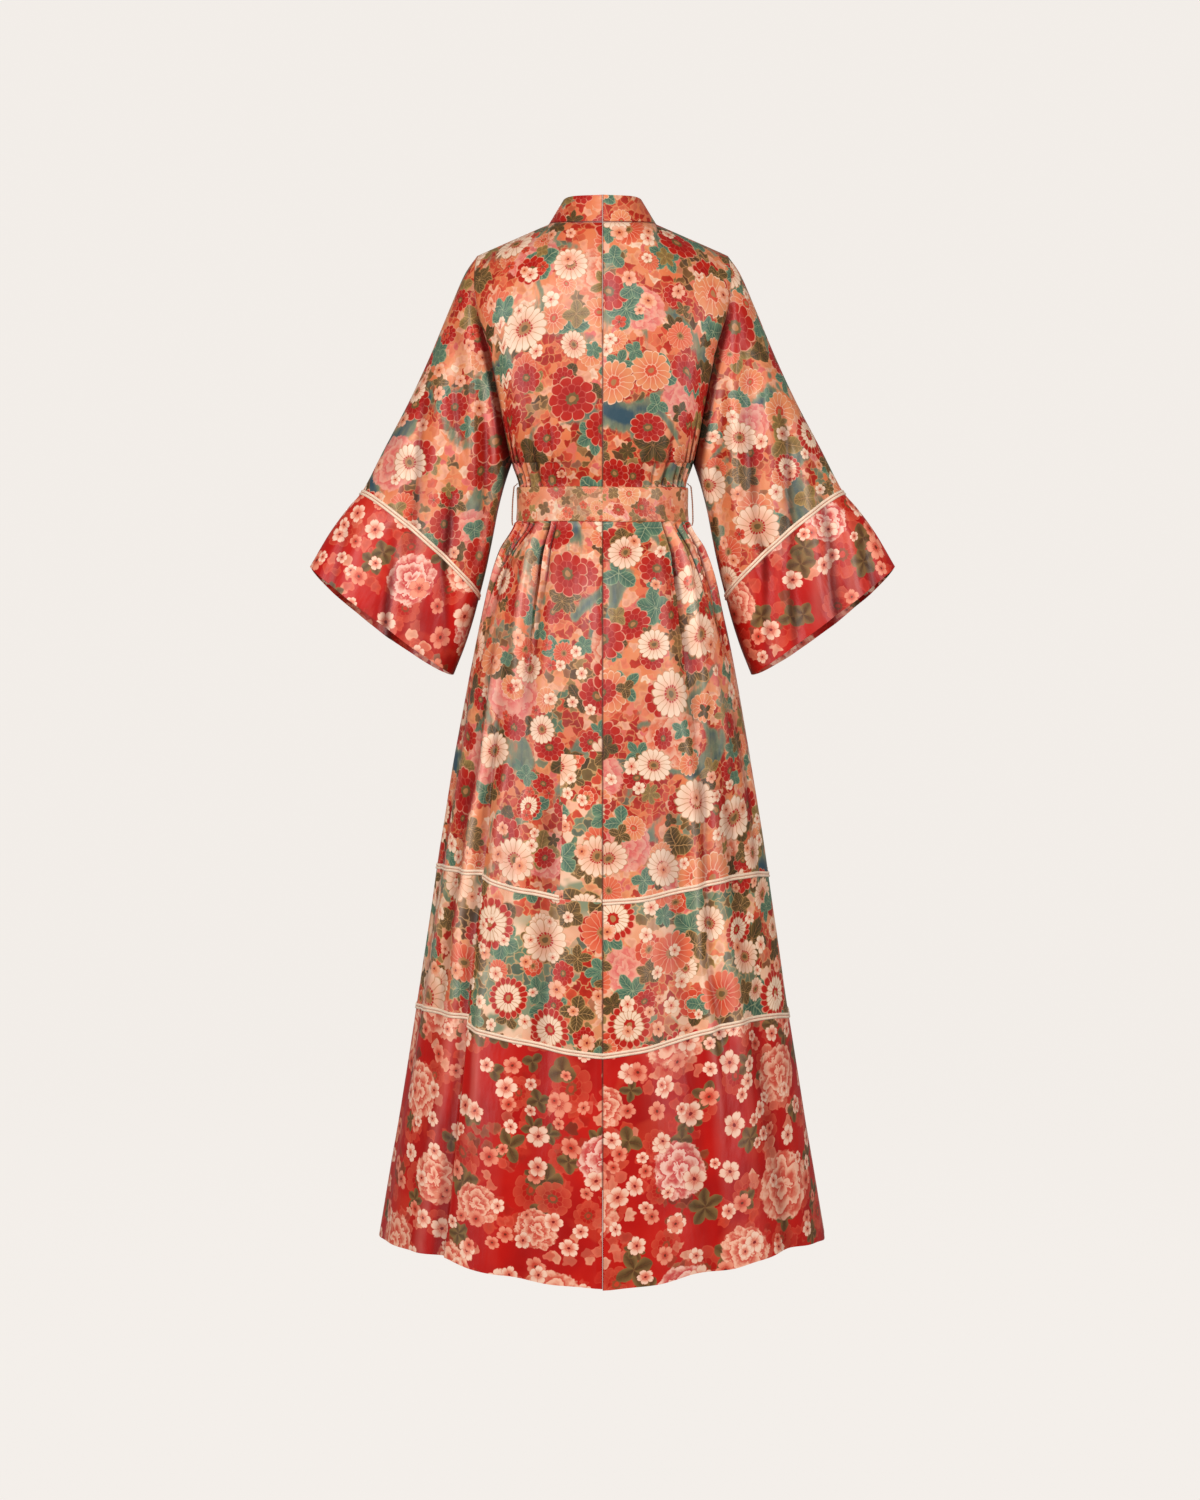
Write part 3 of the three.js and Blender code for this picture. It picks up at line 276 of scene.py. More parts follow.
def shoulder_line(x):
    return np.where(x < NECK_HALF, -NECK_DROP * (1 - (x / NECK_HALF) ** 2),
                    SHOULDER_Z * (x - NECK_HALF) / (SHOULDER_X - NECK_HALF))


def yoke_depth(x, z, depth, fall, neck):
    zc = np.minimum(z, SHOULDER_Z)
    t = np.clip((z - UNDERARM_Z) / 110, 0, 1)
    edge = ARMHOLE_DEPTH * np.sqrt(np.maximum(0, 1 - (1 - t) ** 2))
    r = np.clip(np.abs(x) / armhole_x(zc), 0, 1)
    flat = edge + (depth(z) - edge) * np.maximum(0, 1 - r**ROUND) ** (1 / ROUND)
    rim = 0
    if neck:
        rim = np.where(x < NECK_HALF, NECK_BACK * np.sqrt(np.maximum(0, 1 - (x / NECK_HALF) ** 2)), 0)
    down = np.clip((shoulder_line(np.abs(x)) - z) / fall, 0, 1)
    g = np.maximum(0, 1 - (1 - down) ** 2.2) ** (1 / 2.2)
    return rim + (flat - rim) * g


def yoke_lift(side, x, z, front):
    r = np.clip(x / armhole_x(np.minimum(z, SHOULDER_Z)), -1, 1)
    a = np.degrees(np.arcsin(np.sign(r) * np.abs(r) ** (ROUND / 2)))
    a = 180 - a if front else a
    lift = lift_at(side * a, z)
    edge = 1 - smooth(0.93, 1.0, np.abs(r)) * smooth(UNDERARM_Z, UNDERARM_Z + 25, z)
    return lift * edge * smooth(-2, -30, z - 0 * x)


def front_yoke(side, x, z, over):
    y = yoke_depth(x, z, front_depth, 130, False)
    y = y + yoke_lift(side, x, z, True)
    if over:
        y = y + RAISE * (1 - smooth(72, 98, x)) * (1 - smooth(-140, -60, z))
    return np.stack([x, -y, z], -1)


def rise(v):
    return (1 - np.cos(np.pi * v)) / 2


# ------------------------------------------------------------------------------------------------
# Grids: rows from the top down, columns round the body
# ------------------------------------------------------------------------------------------------
NB = 96
NF = 72
NY = 74
STEP = 4.2


def back_columns():
    """Shares of the quarter turn from centre back to the side, closer together round the pleats."""
    q = np.linspace(0, 90, 901)
    dense = 1 + 1.5 * np.exp(-(((q - 36) / 8) ** 2)) + 0.6 * np.exp(-(((q - 68) / 9) ** 2))
    run = np.concatenate([[0], np.cumsum((dense[1:] + dense[:-1]) / 2)])
    i = np.interp(np.linspace(0, run[-1], NB + 1), run, q) / 90
    i[np.argmin(np.abs(i - 0.4))] = 0.4
    return i


BACK_COLUMNS = back_columns()
NECK_COLUMN = int(np.argmin(np.abs(BACK_COLUMNS - 0.4)))


def lower_levels(side):
    """Rows below the underarm: functions of the angle, with the rows of the seams marked."""
    def flat(z):
        return lambda ang: np.full(np.shape(ang), float(z))

    def seam(name, off=0.0):
        def at(ang):
            z = LEVEL[(name, side)](ang) + off
            if side == 1 and name != "hem":  # the seam jumps where the pleat's edge crosses it
                away = np.asarray(ang, float) - 43.0
                z = z - 4.2 * np.sign(away) * -1 * np.exp(-(away / 9.0) ** 2) * (name == "seam2")
                z = z - 1.6 * np.sign(away) * -1 * np.exp(-(away / 9.0) ** 2) * (name == "seam1")
            if name == "hem":
                z = z + 1.2 * np.sin(np.asarray(ang) / 6.1 + side) + 0.7 * np.sin(np.asarray(ang) / 2.7)
            return z
        return at

    def between(f, g, n):
        return [lambda ang, t=k / n: lerp(f(ang), g(ang), t) for k in range(1, n + 1)]

    rows = []
    stops = [UNDERARM_Z, BELT_TOP, BELT_BOTTOM, -440, -520]
    for a, b in zip(stops, stops[1:]):
        n = max(2, int((a - b) / (STEP * (0.6 if a > -500 else 1))))
        rows += between(flat(a), flat(b), n)
    rows += between(flat(-520), seam("seam1"), int(350 / STEP / 1.3))
    first = len(rows)
    rows += between(seam("seam1"), seam("seam2"), int(200 / STEP / 1.3))
    second = len(rows)
    rows += between(seam("seam2"), seam("hem"), int(310 / STEP / 1.3))
    return rows, first, second, len(rows)


def back_grid(side):
    """Points from the shoulder down, and how far each stands off the plain form."""
    i = BACK_COLUMNS
    bottom = skirt(side, 90 * i, np.full(NB + 1, UNDERARM_Z), False, plain=True)
    bx = bottom[:, 0]
    top = np.where(i <= 0.4, NECK_HALF * np.sin(np.pi / 2 * np.minimum(i / 0.4, 1)),
                   lerp(NECK_HALF, SHOULDER_X, (i - 0.4) / 0.6))
    tz = shoulder_line(top)
    rows, lifts = [], []
    for k in range(NY, -1, -1):
        v = rise(k / NY)
        az = lerp(UNDERARM_Z, SHOULDER_Z, v)
        ax = float(armhole_x(az))
        u = bx / bx[-1]
        x = lerp(bx, top, v) + u * (ax - lerp(bx[-1], top[-1], v))
        z = lerp(UNDERARM_Z, tz, v) + u * (az - lerp(UNDERARM_Z, SHOULDER_Z, v))
        y = yoke_depth(x, z, back_depth, 110, True) + yoke_lift(side, x, z, False)
        if k == 0:
            y = yoke_depth(x, z, back_depth, 110, True)
        rows.append(np.stack([x, y, z], -1))
        lifts.append(yoke_lift(side, x, z, False))
    levels, first, second, hem = lower_levels(side)
    for f in levels:
        ang = 90 * i
        rows.append(skirt(side, ang, f(ang), False))
        lifts.append(lift_at(side * ang, f(ang)))
    rows[NY] = skirt(side, 90 * i, np.full(NB + 1, UNDERARM_Z), False)
    return np.array(rows), np.array(lifts), NY + first, NY + second, NY + hem


def band_across(z):
    step = 2.0
    dx = float(edge_x(z + step) - edge_x(z - step))
    a = np.array([-2 * step, 0, dx])
    a /= np.linalg.norm(a)
    w = 1 - float(smooth(UNDERARM_Z, -200, z))
    a = lerp(a, np.array([-1.0, 0, 0]), w)
    return a / np.linalg.norm(a)


BAND_LEAN = np.array([-0.53, 0, 0.848])
BAND_LEAN_BACK = np.array([0, -0.19, 0.98])
BAND_COLS = np.array([0.02, 0.1, 0.2, 0.35, 0.5, 0.65, 0.8, 0.9, 0.96, 1.0])


def front_grid(side, over):
    """The panel's columns, then the band's, on rows that match the back's."""
    i = np.arange(NF + 1) / NF
    rows, band, lifts = [], [], []
    for k in range(NY, -1, -1):
        v = rise(k / NY)
        az = lerp(UNDERARM_Z, SHOULDER_Z, v)
        ax = float(armhole_x(az))
        z0 = lerp(UNDERARM_Z, 0, v)
        x0 = float(edge_x(z0))
        t = lerp(i, 1 - np.sin(np.radians(90 + 90 * i)) ** 0.9, 0.5)
        t = lerp(t, i, float(smooth(-250, -100, z0)))
        t[-1] = 1
        x, z = lerp(ax, x0, t), lerp(az, z0, t)
        row = front_yoke(side, x, z, over)
        if k == 0:
            row[:, 1] = 0
        rows.append(row)
        lifts.append(yoke_lift(side, x, z, True))
        across = band_across(z0)
        bz = np.minimum(z0 + across[2] * BAND_WIDTH * BAND_COLS, -0.5)
        flat = front_yoke(side, x0 + across[0] * BAND_WIDTH * BAND_COLS, bz, over)
        flat[:, 2] = z0 + across[2] * BAND_WIDTH * BAND_COLS
        up = row[-1] + BAND_LEAN * BAND_WIDTH * BAND_COLS[:, None]
        band.append(lerp(up, flat, float(smooth(0, -100, z0))))
    levels, first, second, hem = lower_levels(side)
    for f in [lambda ang: np.full(np.shape(ang), UNDERARM_Z)] + levels:
        ze = float(f(np.array(180.0)))
        last = float(front_angle(float(edge_x(ze)), ze))
        ang = lerp(90, last, i)
        low = skirt(side, ang, f(ang), over)
        bang = front_angle(float(edge_x(ze)) - BAND_WIDTH * BAND_COLS, ze)
        bl = skirt(side, bang, f(bang), over)
        if f is not levels[0] and len(rows) == NY + 1 and ze == UNDERARM_Z:
            rows[NY], band[NY] = low, bl
            continue
        rows.append(low)
        band.append(bl)
        lifts.append(lift_at(side * ang, f(ang)))
    return np.array(rows), np.array(band), np.array(lifts)


# Creases of the sleeves in the plane of the back: x and z of the top, x and z of the bottom, half
# width, depth outwards; first for the left sleeve, then for the right
SLEEVE_CREASES = {
    1: np.array([
        (176, -130, 171, -345, 9.6, 7), (195, -120, 192, -300, 9.6, -7), (160, -210, 150, -420, 9.6, -7.7),
        (214, -150, 222, -420, 14.4, 4.5), (236, -190, 252, -470, 10.8, -4.8), (262, -240, 286, -470, 14.4, 3.8),
        (186, -330, 190, -520, 10.8, 4.6), (206, -340, 214, -600, 10.8, -5.4), (240, -400, 262, -600, 12, 4.3),
        (272, -380, 300, -600, 10.8, -5.1), (318, -370, 350, -560, 13.2, 3.6), (338, -380, 372, -520, 9.6, -3.3)], float),
    -1: np.array([
        (172, -170, 176, -420, 9.6, 7), (157, -200, 152, -430, 10.8, -7.7), (192, -130, 200, -420, 10.8, -5.9),
        (214, -150, 226, -440, 13.2, 5.1), (238, -200, 262, -600, 10.8, -5.9), (264, -250, 292, -560, 13.2, 4.3),
        (192, -340, 204, -560, 12, 4), (212, -400, 226, -600, 10.8, -5.1), (292, -330, 322, -560, 12, -4.3),
        (320, -360, 352, -580, 13.2, 3.8), (346, -390, 380, -540, 9.6, -3.3)], float)}


def sleeve_lift(side, x, z, front):
    total = np.zeros_like(x)
    for k, (x0, z0, x1, z1, wide, deep) in enumerate(SLEEVE_CREASES[side]):
        t = (z0 - z) / (z0 - z1)
        grow = smooth(0, 0.22, t) * (1 - smooth(0.78, 1.12, t))
        away = x - lerp(x0, x1, t) + 2.2 * np.sin(z / 47.0 + 3 * k) + 1.2 * np.sin(z / 19.0 + 5 * k)
        if front:
            away = away + 6 * math.sin(2.0 * k)
        total += deep * grow * np.exp(-((away / wide) ** 2)) * (0.85 + 0.25 * np.sin(z / 71.0 + k))
    total += 0.8 * waves((x * 1.3, z * 0.6), SEEDS, 30.0)
    return total


def sleeve_grid(side, around, along):
    """The sleeve and cuff as one tube: rings from the armhole to the hem."""
    spots = np.linspace(0, len(SLEEVE) - 1, along + 1)
    table = np.column_stack([np.arange(len(SLEEVE)), SLEEVE])
    col = [curve(table, k)(spots) for k in range(1, 9)]
    turn = (2 * np.pi * np.arange(around) / around + np.pi) % (2 * np.pi)
    # the armhole, read at the same turns
    zs = lerp(UNDERARM_Z, SHOULDER_Z, rise(1 - np.minimum(turn, 2 * np.pi - turn) / np.pi))
    xs = armhole_x(zs)
    yb = yoke_depth(xs, zs, back_depth, 110, True)
    yf = yoke_depth(xs, zs, front_depth, 130, False)
    ys = np.where(turn <= np.pi, yb, -yf)
    m0 = np.array([(168 + 123) / 2, 0, (-41 - 317) / 2])
    r0 = np.array([(168 - 123) / 2, 0, (-41 + 317) / 2])
    a0 = -np.array([-r0[2], 0, r0[0]]) / np.hypot(r0[0], r0[2])
    q = np.stack([xs, ys, zs], -1) - m0
    c0, l0 = q @ r0 / (r0 @ r0), q @ a0
    rows, lifts = [], []
    for s, ox, oz, ix, iz, db, df, bow, drop in zip(spots, *col):
        outer, inner = np.array([ox, 0, oz]), np.array([ix, 0, iz])
        mid, reach = (outer + inner) / 2, (outer - inner) / 2
        ax = -np.array([-reach[2], 0, reach[0]]) / np.hypot(reach[0], reach[2])
        w = float(smooth(0, 3, s))
        c, sn = np.cos(turn), np.sin(turn)
        depth = np.where(sn >= 0, db, df)
        y = depth * np.sign(sn) * np.abs(sn) ** 0.85
        lengthwise = np.where(sn >= 0, -bow, drop) * np.abs(sn)
        p = mid + reach * lerp(c0, c, w)[:, None] + ax * lerp(l0, lengthwise, w)[:, None]
        p[:, 1] = lerp(q[:, 1] * (1 if s == 0 else db / 50.0), y, w)
        lift = np.where(sn >= 0, sleeve_lift(side, p[:, 0], p[:, 2], False), -sleeve_lift(side, p[:, 0], p[:, 2], True))
        lift = lift * float(smooth(0, 0.9, s)) * np.minimum(1, np.abs(sn) * 2.2)
        p[:, 1] += lift
        rows.append(p)
        lifts.append(lift * np.where(sn >= 0, 1, -1))
    return np.array(rows), np.array(lifts), spots


# ------------------------------------------------------------------------------------------------
# Meshes
# ------------------------------------------------------------------------------------------------
def normals(grid, closed=False):
    down = np.empty_like(grid)
    down[1:-1] = grid[2:] - grid[:-2]
    down[0], down[-1] = grid[1] - grid[0], grid[-1] - grid[-2]
    if closed:
        across = np.roll(grid, -1, 1) - np.roll(grid, 1, 1)
    else:
        across = np.empty_like(grid)
        across[:, 1:-1] = grid[:, 2:] - grid[:, :-2]
        across[:, 0], across[:, -1] = grid[:, 1] - grid[:, 0], grid[:, -1] - grid[:, -2]
    n = np.cross(down, across)
    return n / np.maximum(np.linalg.norm(n, axis=-1, keepdims=True), 1e-9)


def valley(grid, lifts, closed=False):
    """How much lower a point lies than the cloth 5, 15 and 30 mm to either side of it, in mm."""
    run = arc(grid, 1)
    out = np.zeros_like(lifts)
    for k, (u, high) in enumerate(zip(run, lifts)):
        if closed:
            whole = u[-1] + np.linalg.norm(grid[k, 0] - grid[k, -1])
            at = lambda v: np.interp(v, u, high, period=whole)
        else:
            at = lambda v: np.interp(v, u, high)
        out[k] = (0.9 * ((at(u - 5) + at(u + 5)) / 2 - high) + 0.25 * ((at(u - 15) + at(u + 15)) / 2 - high)
                  + 0.14 * ((at(u - 30) + at(u + 30)) / 2 - high))
    return out


def arc(grid, axis):
    d = np.linalg.norm(np.diff(grid, axis=axis), axis=-1)
    pad = [(0, 0), (0, 0)]
    pad[axis] = (1, 0)
    return np.cumsum(np.pad(d, pad), axis=axis)


# ------------------------------------------------------------------------------------------------
# The print: ordinary flowers and leaves, laid out on the flat cut by seeded dart throwing
# ------------------------------------------------------------------------------------------------
# layer: the corner attribute that carries a motif's own coordinates; kinds: which of the family's
# colourings; radius from, to (mm); number for each 0.1 square metre; gap: how near two may be
PRINTS = {
    "upper": [
        dict(layer="peony", kinds=(0, 0, 1), radius=(30, 46), many=5, gap=1.0),
        dict(layer="leaf_a", kinds=(0, 2, 1, 2, 3, 2), radius=(16, 31), many=25, gap=0.7, themes={2: 2, 0: 1}),
        dict(layer="rose_a", kinds=(1, 1, 1, 3, 5, 1), radius=(15, 29), many=56, gap=0.8, themes={0: 1, 1: 3}),
        dict(layer="leaf_b", kinds=(0, 2, 1, 2, 3), radius=(10, 20), many=24, gap=0.8, themes={2: 0}),
        dict(layer="rose_b", kinds=(0, 0, 0, 3, 4, 1), radius=(19, 36), many=13, gap=1.15, themes={1: 0, 0: 1}),
        dict(layer="bloom_a", kinds=(0, 1, 1), radius=(8, 13), many=20, gap=0.9, bunch=9, themes={1: 0}),
        dict(layer="bloom_b", kinds=(0, 1, 2, 2), radius=(7, 11), many=16, gap=0.9, bunch=8, themes={0: 2, 3: 1}),
    ],
    "mid": [
        dict(layer="peony", kinds=(0,), radius=(26, 34), many=1.5, gap=1.1),
        dict(layer="leaf_a", kinds=(0, 1, 2, 2), radius=(24, 38), many=60, gap=0.7, themes={2: 2}),
        dict(layer="rose_a", kinds=(1, 5, 2, 1, 0), radius=(15, 26), many=60, gap=0.85, themes={0: 1}),
        dict(layer="leaf_b", kinds=(0, 0, 1, 2), radius=(17, 30), many=60, gap=0.8, themes={2: 0}),
        dict(layer="rose_b", kinds=(4, 0, 5, 4), radius=(27, 40), many=15, gap=1.05),
        dict(layer="bloom_a", kinds=(0, 0, 1), radius=(8, 14), many=30, gap=0.9, bunch=8),
        dict(layer="bloom_b", kinds=(0, 1), radius=(7, 12), many=22, gap=0.9, bunch=5),
    ],
    "red": [
        dict(layer="rose_a", kinds=(6, 6, 6), radius=(20, 34), many=17, gap=0.9),
        dict(layer="leaf_a", kinds=(4, 4, 4), radius=(16, 29), many=12, gap=0.85),
        dict(layer="leaf_b", kinds=(4, 4), radius=(14, 22), many=10, gap=0.9),
        dict(layer="peony", kinds=(2, 3, 3), radius=(28, 52), many=9, gap=0.85),
        dict(layer="bloom_a", kinds=(3, 3, 4), radius=(10, 19), many=42, gap=0.85, bunch=12),
        dict(layer="bloom_b", kinds=(3, 3, 4), radius=(8, 15), many=50, gap=0.85, bunch=11),
        dict(layer="rose_b", kinds=(6,), radius=(22, 27), many=0.5, gap=1.1),
    ],
    "sash": [
        dict(layer="peony", kinds=(0,), radius=(16, 22), many=9, gap=1.1),
        dict(layer="leaf_a", kinds=(0, 0, 3), radius=(9, 15), many=140, gap=0.75),
        dict(layer="rose_a", kinds=(3, 3, 1, 5), radius=(8, 15), many=120, gap=0.85),
        dict(layer="leaf_b", kinds=(0, 1, 3), radius=(7, 11), many=90, gap=0.85),
        dict(layer="rose_b", kinds=(3,), radius=(13, 17), many=10, gap=1.1),
        dict(layer="bloom_a", kinds=(1, 1, 2), radius=(5, 9), many=130, gap=0.9, bunch=6),
        dict(layer="bloom_b", kinds=(1, 2), radius=(5, 8), many=90, gap=0.9, bunch=6),
    ],
}
# how readily each family grows in regions rich in red, cream, leaves or open ground
LIKES = {"peon": (0.4, 0.5, 0.3, 1.0), "leaf": (0.8, 0.6, 1.0, 0.3), "rose": (1.0, 0.8, 0.35, 0.3),
         "bloo": (0.4, 1.0, 0.3, 0.5)}
LAYERS = ("peony", "leaf_a", "leaf_b", "rose_a", "rose_b", "bloom_a", "bloom_b")


def lay_motifs(fuv, which, name):
    """For each face's corners, where they lie in the one motif of each layer that covers the face."""
    seed = sum((k + 1) * ord(ch) for k, ch in enumerate(name)) % 100003
    rng = np.random.default_rng(seed)
    middle = fuv.mean(1)
    reach = np.linalg.norm(fuv - middle[:, None], axis=-1).max(1)
    lo, hi = fuv.reshape(-1, 2).min(0), fuv.reshape(-1, 2).max(0)
    spare = 2 * np.percentile(reach, 95) + 0.5
    box = np.prod(hi - lo) / 1e5
    out = {k: np.full((len(fuv), 4, 3), 9.0) for k in LAYERS}
    # faces in order of u, so that each motif looks only at its own neighbourhood
    # regions of 70 to 110 mm, each rich in red, cream, leaves or open ground
    regions = rng.uniform(lo - 40, hi + 40, (max(4, int(np.prod(hi - lo + 80) / 7000)), 2))
    themes = rng.permutation(np.resize([0, 1, 2, 3, 0, 2, 1], len(regions)))
    order = np.argsort(middle[:, 0])
    sorted_u = middle[order, 0]
    far = reach.max()
    for spec in PRINTS[which]:
        want = max(2, int(spec["many"] * box))
        spots = np.empty((0, 3))
        hub, left = None, 0
        for _ in range(want * 24):
            if len(spots) >= want:
                break
            r = rng.uniform(*spec["radius"])
            if "bunch" in spec:
                if left <= 0:
                        hub, left = rng.uniform(lo - 10, hi + 10), 3 * rng.integers(3, spec["bunch"] + 3)
                left -= 1
                c = hub + rng.normal(0, 1.9 * spec["radius"][1], 2)
            else:
                c = rng.uniform(lo - 0.6 * r, hi + 0.6 * r)
            theme = int(themes[np.argmin(np.hypot(*(regions - c).T))])
            if rng.uniform() > LIKES[spec["layer"][:4]][theme]:
                continue
            if len(spots):
                d = np.hypot(spots[:, 0] - c[0], spots[:, 1] - c[1])
                if (d < np.maximum((spots[:, 2] + r) * spec["gap"], spots[:, 2] + r + spare)).any():
                    continue
            spots = np.vstack([spots, (c[0], c[1], r)])
            turn, kind, var = rng.uniform(0, 2 * np.pi), rng.choice(spec["kinds"]), rng.uniform(0.05, 0.9)
            if rng.uniform() < 0.6 and theme in spec.get("themes", {}):
                kind = spec["themes"][theme]
            squeeze = rng.uniform(0.82, 1.0)
            a, b = np.searchsorted(sorted_u, (c[0] - r - far, c[0] + r + far))
            near = order[a:b]
            near = near[np.hypot(*(middle[near] - c).T) < r + reach[near]]
            if not len(near):
                continue
            q = (fuv[near] - c) / r
            cs, sn = math.cos(turn), math.sin(turn)
            x, y = q[..., 0] * cs + q[..., 1] * sn, -q[..., 0] * sn + q[..., 1] * cs
            out[spec["layer"]][near] = np.stack([x, y / squeeze, np.full_like(x, kind + var)], -1)
    return out


def shell(name, grid, n, uv, thick, side, material, closed=False, out=0.0, lay=None, seam=None, patch=None, fold=None):
    """A thin closed shell of cloth on a grid of points, in millimetres, with a UV in metres.

    lay names the table of motifs that the print is laid from, seam is each point's distance from a sewn edge, fold how
    much painted shade (deep in a fold) or painted highlight (along a ridge) it takes, and patch is (faces that take a
    second material, that material, its own table)."""
    R, C = grid.shape[:2]
    top = grid + n * out
    under = grid + n * (out - thick)
    pts = np.concatenate([top.reshape(-1, 3), under.reshape(-1, 3)]) * 0.001
    if side < 0:
        pts[:, 0] *= -1
    idx = np.arange(R * C).reshape(R, C)
    nxt = np.roll(idx, -1, 1) if closed else idx[:, 1:]
    cur = idx if closed else idx[:, :-1]
    low = R * C
    a, b, c, d = cur[:-1], cur[1:], nxt[1:], nxt[:-1]
    skin = np.stack([a, b, c, d], -1).reshape(-1, 4)
    fuv = uv.reshape(-1, 2)[skin]
    if closed:  # the last column's UV runs on instead of back across the print
        lead = uv[:, -1] + (uv[:, -1] - uv[:, -2])
        fu = fuv.reshape(R - 1, C, 4, 2)
        fu[:, -1, 2, :] = lead[1:]
        fu[:, -1, 3, :] = lead[:-1]
        fuv = fu.reshape(-1, 4, 2)
    p = pts
    fn = np.cross(p[skin[:, 1]] - p[skin[:, 0]], p[skin[:, 3]] - p[skin[:, 0]])
    want = n[:-1, : C if closed else C - 1].reshape(-1, 3).copy()
    if side < 0:
        want[:, 0] *= -1
    turned = (fn * want).sum() < 0
    rims = [np.stack([cur[0], nxt[0], nxt[0] + low, cur[0] + low], -1),
            np.stack([cur[-1], cur[-1] + low, nxt[-1] + low, nxt[-1]], -1)]
    if not closed:
        rims.append(np.stack([idx[:-1, 0], idx[:-1, 0] + low, idx[1:, 0] + low, idx[1:, 0]], -1))
        rims.append(np.stack([idx[:-1, -1], idx[1:, -1], idx[1:, -1] + low, idx[:-1, -1] + low], -1))
    rims = np.concatenate(rims)
    faces = np.concatenate([skin, skin[:, ::-1] + low, rims])
    flat = np.concatenate([uv.reshape(-1, 2)] * 2)
    cuv = np.concatenate([fuv, fuv[:, ::-1], flat[rims]])
    if turned:
        faces, cuv = faces[:, ::-1], cuv[:, ::-1]
    mesh = bpy.data.meshes.new(name)
    mesh.vertices.add(len(pts))
    mesh.vertices.foreach_set("co", pts.ravel())
    mesh.loops.add(faces.size)
    mesh.loops.foreach_set("vertex_index", faces.ravel().astype(np.int32))
    mesh.polygons.add(len(faces))
    mesh.polygons.foreach_set("loop_start", (np.arange(len(faces)) * 4).astype(np.int32))
    mesh.polygons.foreach_set("loop_total", np.full(len(faces), 4, np.int32))
    mesh.update(calc_edges=True)
    mesh.uv_layers.new(name="Cut").data.foreach_set("uv", (cuv * 0.001).ravel())
    mesh.polygons.foreach_set("use_smooth", np.ones(len(faces), bool))
    mesh.materials.append(material)
    second = None
    if patch is not None:
        mesh.materials.append(patch[1])
        second = patch[0].reshape(-1)
        index = np.zeros(len(faces), np.int32)
        index[: len(skin)][second] = 1
        index[len(skin): 2 * len(skin)][second] = 1
        mesh.polygons.foreach_set("material_index", index)
    if seam is not None:
        away = mesh.attributes.new("seam", "FLOAT", "POINT")
        away.data.foreach_set("value", np.concatenate([seam.ravel()] * 2).astype(np.float32))
    # fold carries painted shade (positive) and painted highlight (negative) for the material
    if fold is not None:
        deep = mesh.attributes.new("fold", "FLOAT", "POINT")
        deep.data.foreach_set("value", np.concatenate([fold.ravel()] * 2).astype(np.float32))
    if lay is not None:
        layers = lay_motifs(fuv, lay, name)
        if second is not None:
            other = lay_motifs(fuv, patch[2], name + "_patch")
            for k in layers:
                layers[k][second] = other[k][second]
        for k, data in layers.items():
            data = np.concatenate([data, data[:, ::-1], np.full((len(rims), 4, 3), 9.0)])
            if turned:
                data = data[:, ::-1]
            att = mesh.attributes.new(k, "FLOAT_VECTOR", "CORNER")
            att.data.foreach_set("vector", data.astype(np.float32).ravel())
    mesh.set_sharp_from_angle(angle=math.radians(60))
    obj = bpy.data.objects.new(name, mesh)
    bpy.context.scene.collection.objects.link(obj)
    return obj


def unrolled(tube, middle):
    """A sleeve's cut: across its axis measured along the cloth from the middle of the back."""
    axis = tube[-1].mean(0) - tube[0].mean(0)
    axis[1] = 0
    axis /= np.linalg.norm(axis)
    across = np.array([-axis[2], 0, axis[0]])
    w = tube @ across
    step = np.hypot(np.diff(w, axis=1), np.diff(tube[..., 1], axis=1))
    run = np.concatenate([np.zeros((len(tube), 1)), np.cumsum(step, 1)], 1)
    sign = -1.0 if w[5, middle + 3] < w[5, middle - 3] else 1.0
    u = w[:, middle: middle + 1] + sign * (run - run[:, middle: middle + 1])
    return np.stack([u, -(tube @ axis)], -1)


def area_of(grid, closed=False):
    g = np.concatenate([grid, grid[:, :1]], 1) if closed else grid
    a, b, c, d = g[:-1, :-1], g[1:, :-1], g[1:, 1:], g[:-1, 1:]
    return (np.linalg.norm(np.cross(b - a, c - a), axis=-1) + np.linalg.norm(np.cross(c - a, d - a), axis=-1)).sum() / 2 * 1e-6


def declare(obj, node, grid, closed=False):
    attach(obj, "root")
    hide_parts(node)
    area = float(area_of(grid, closed))


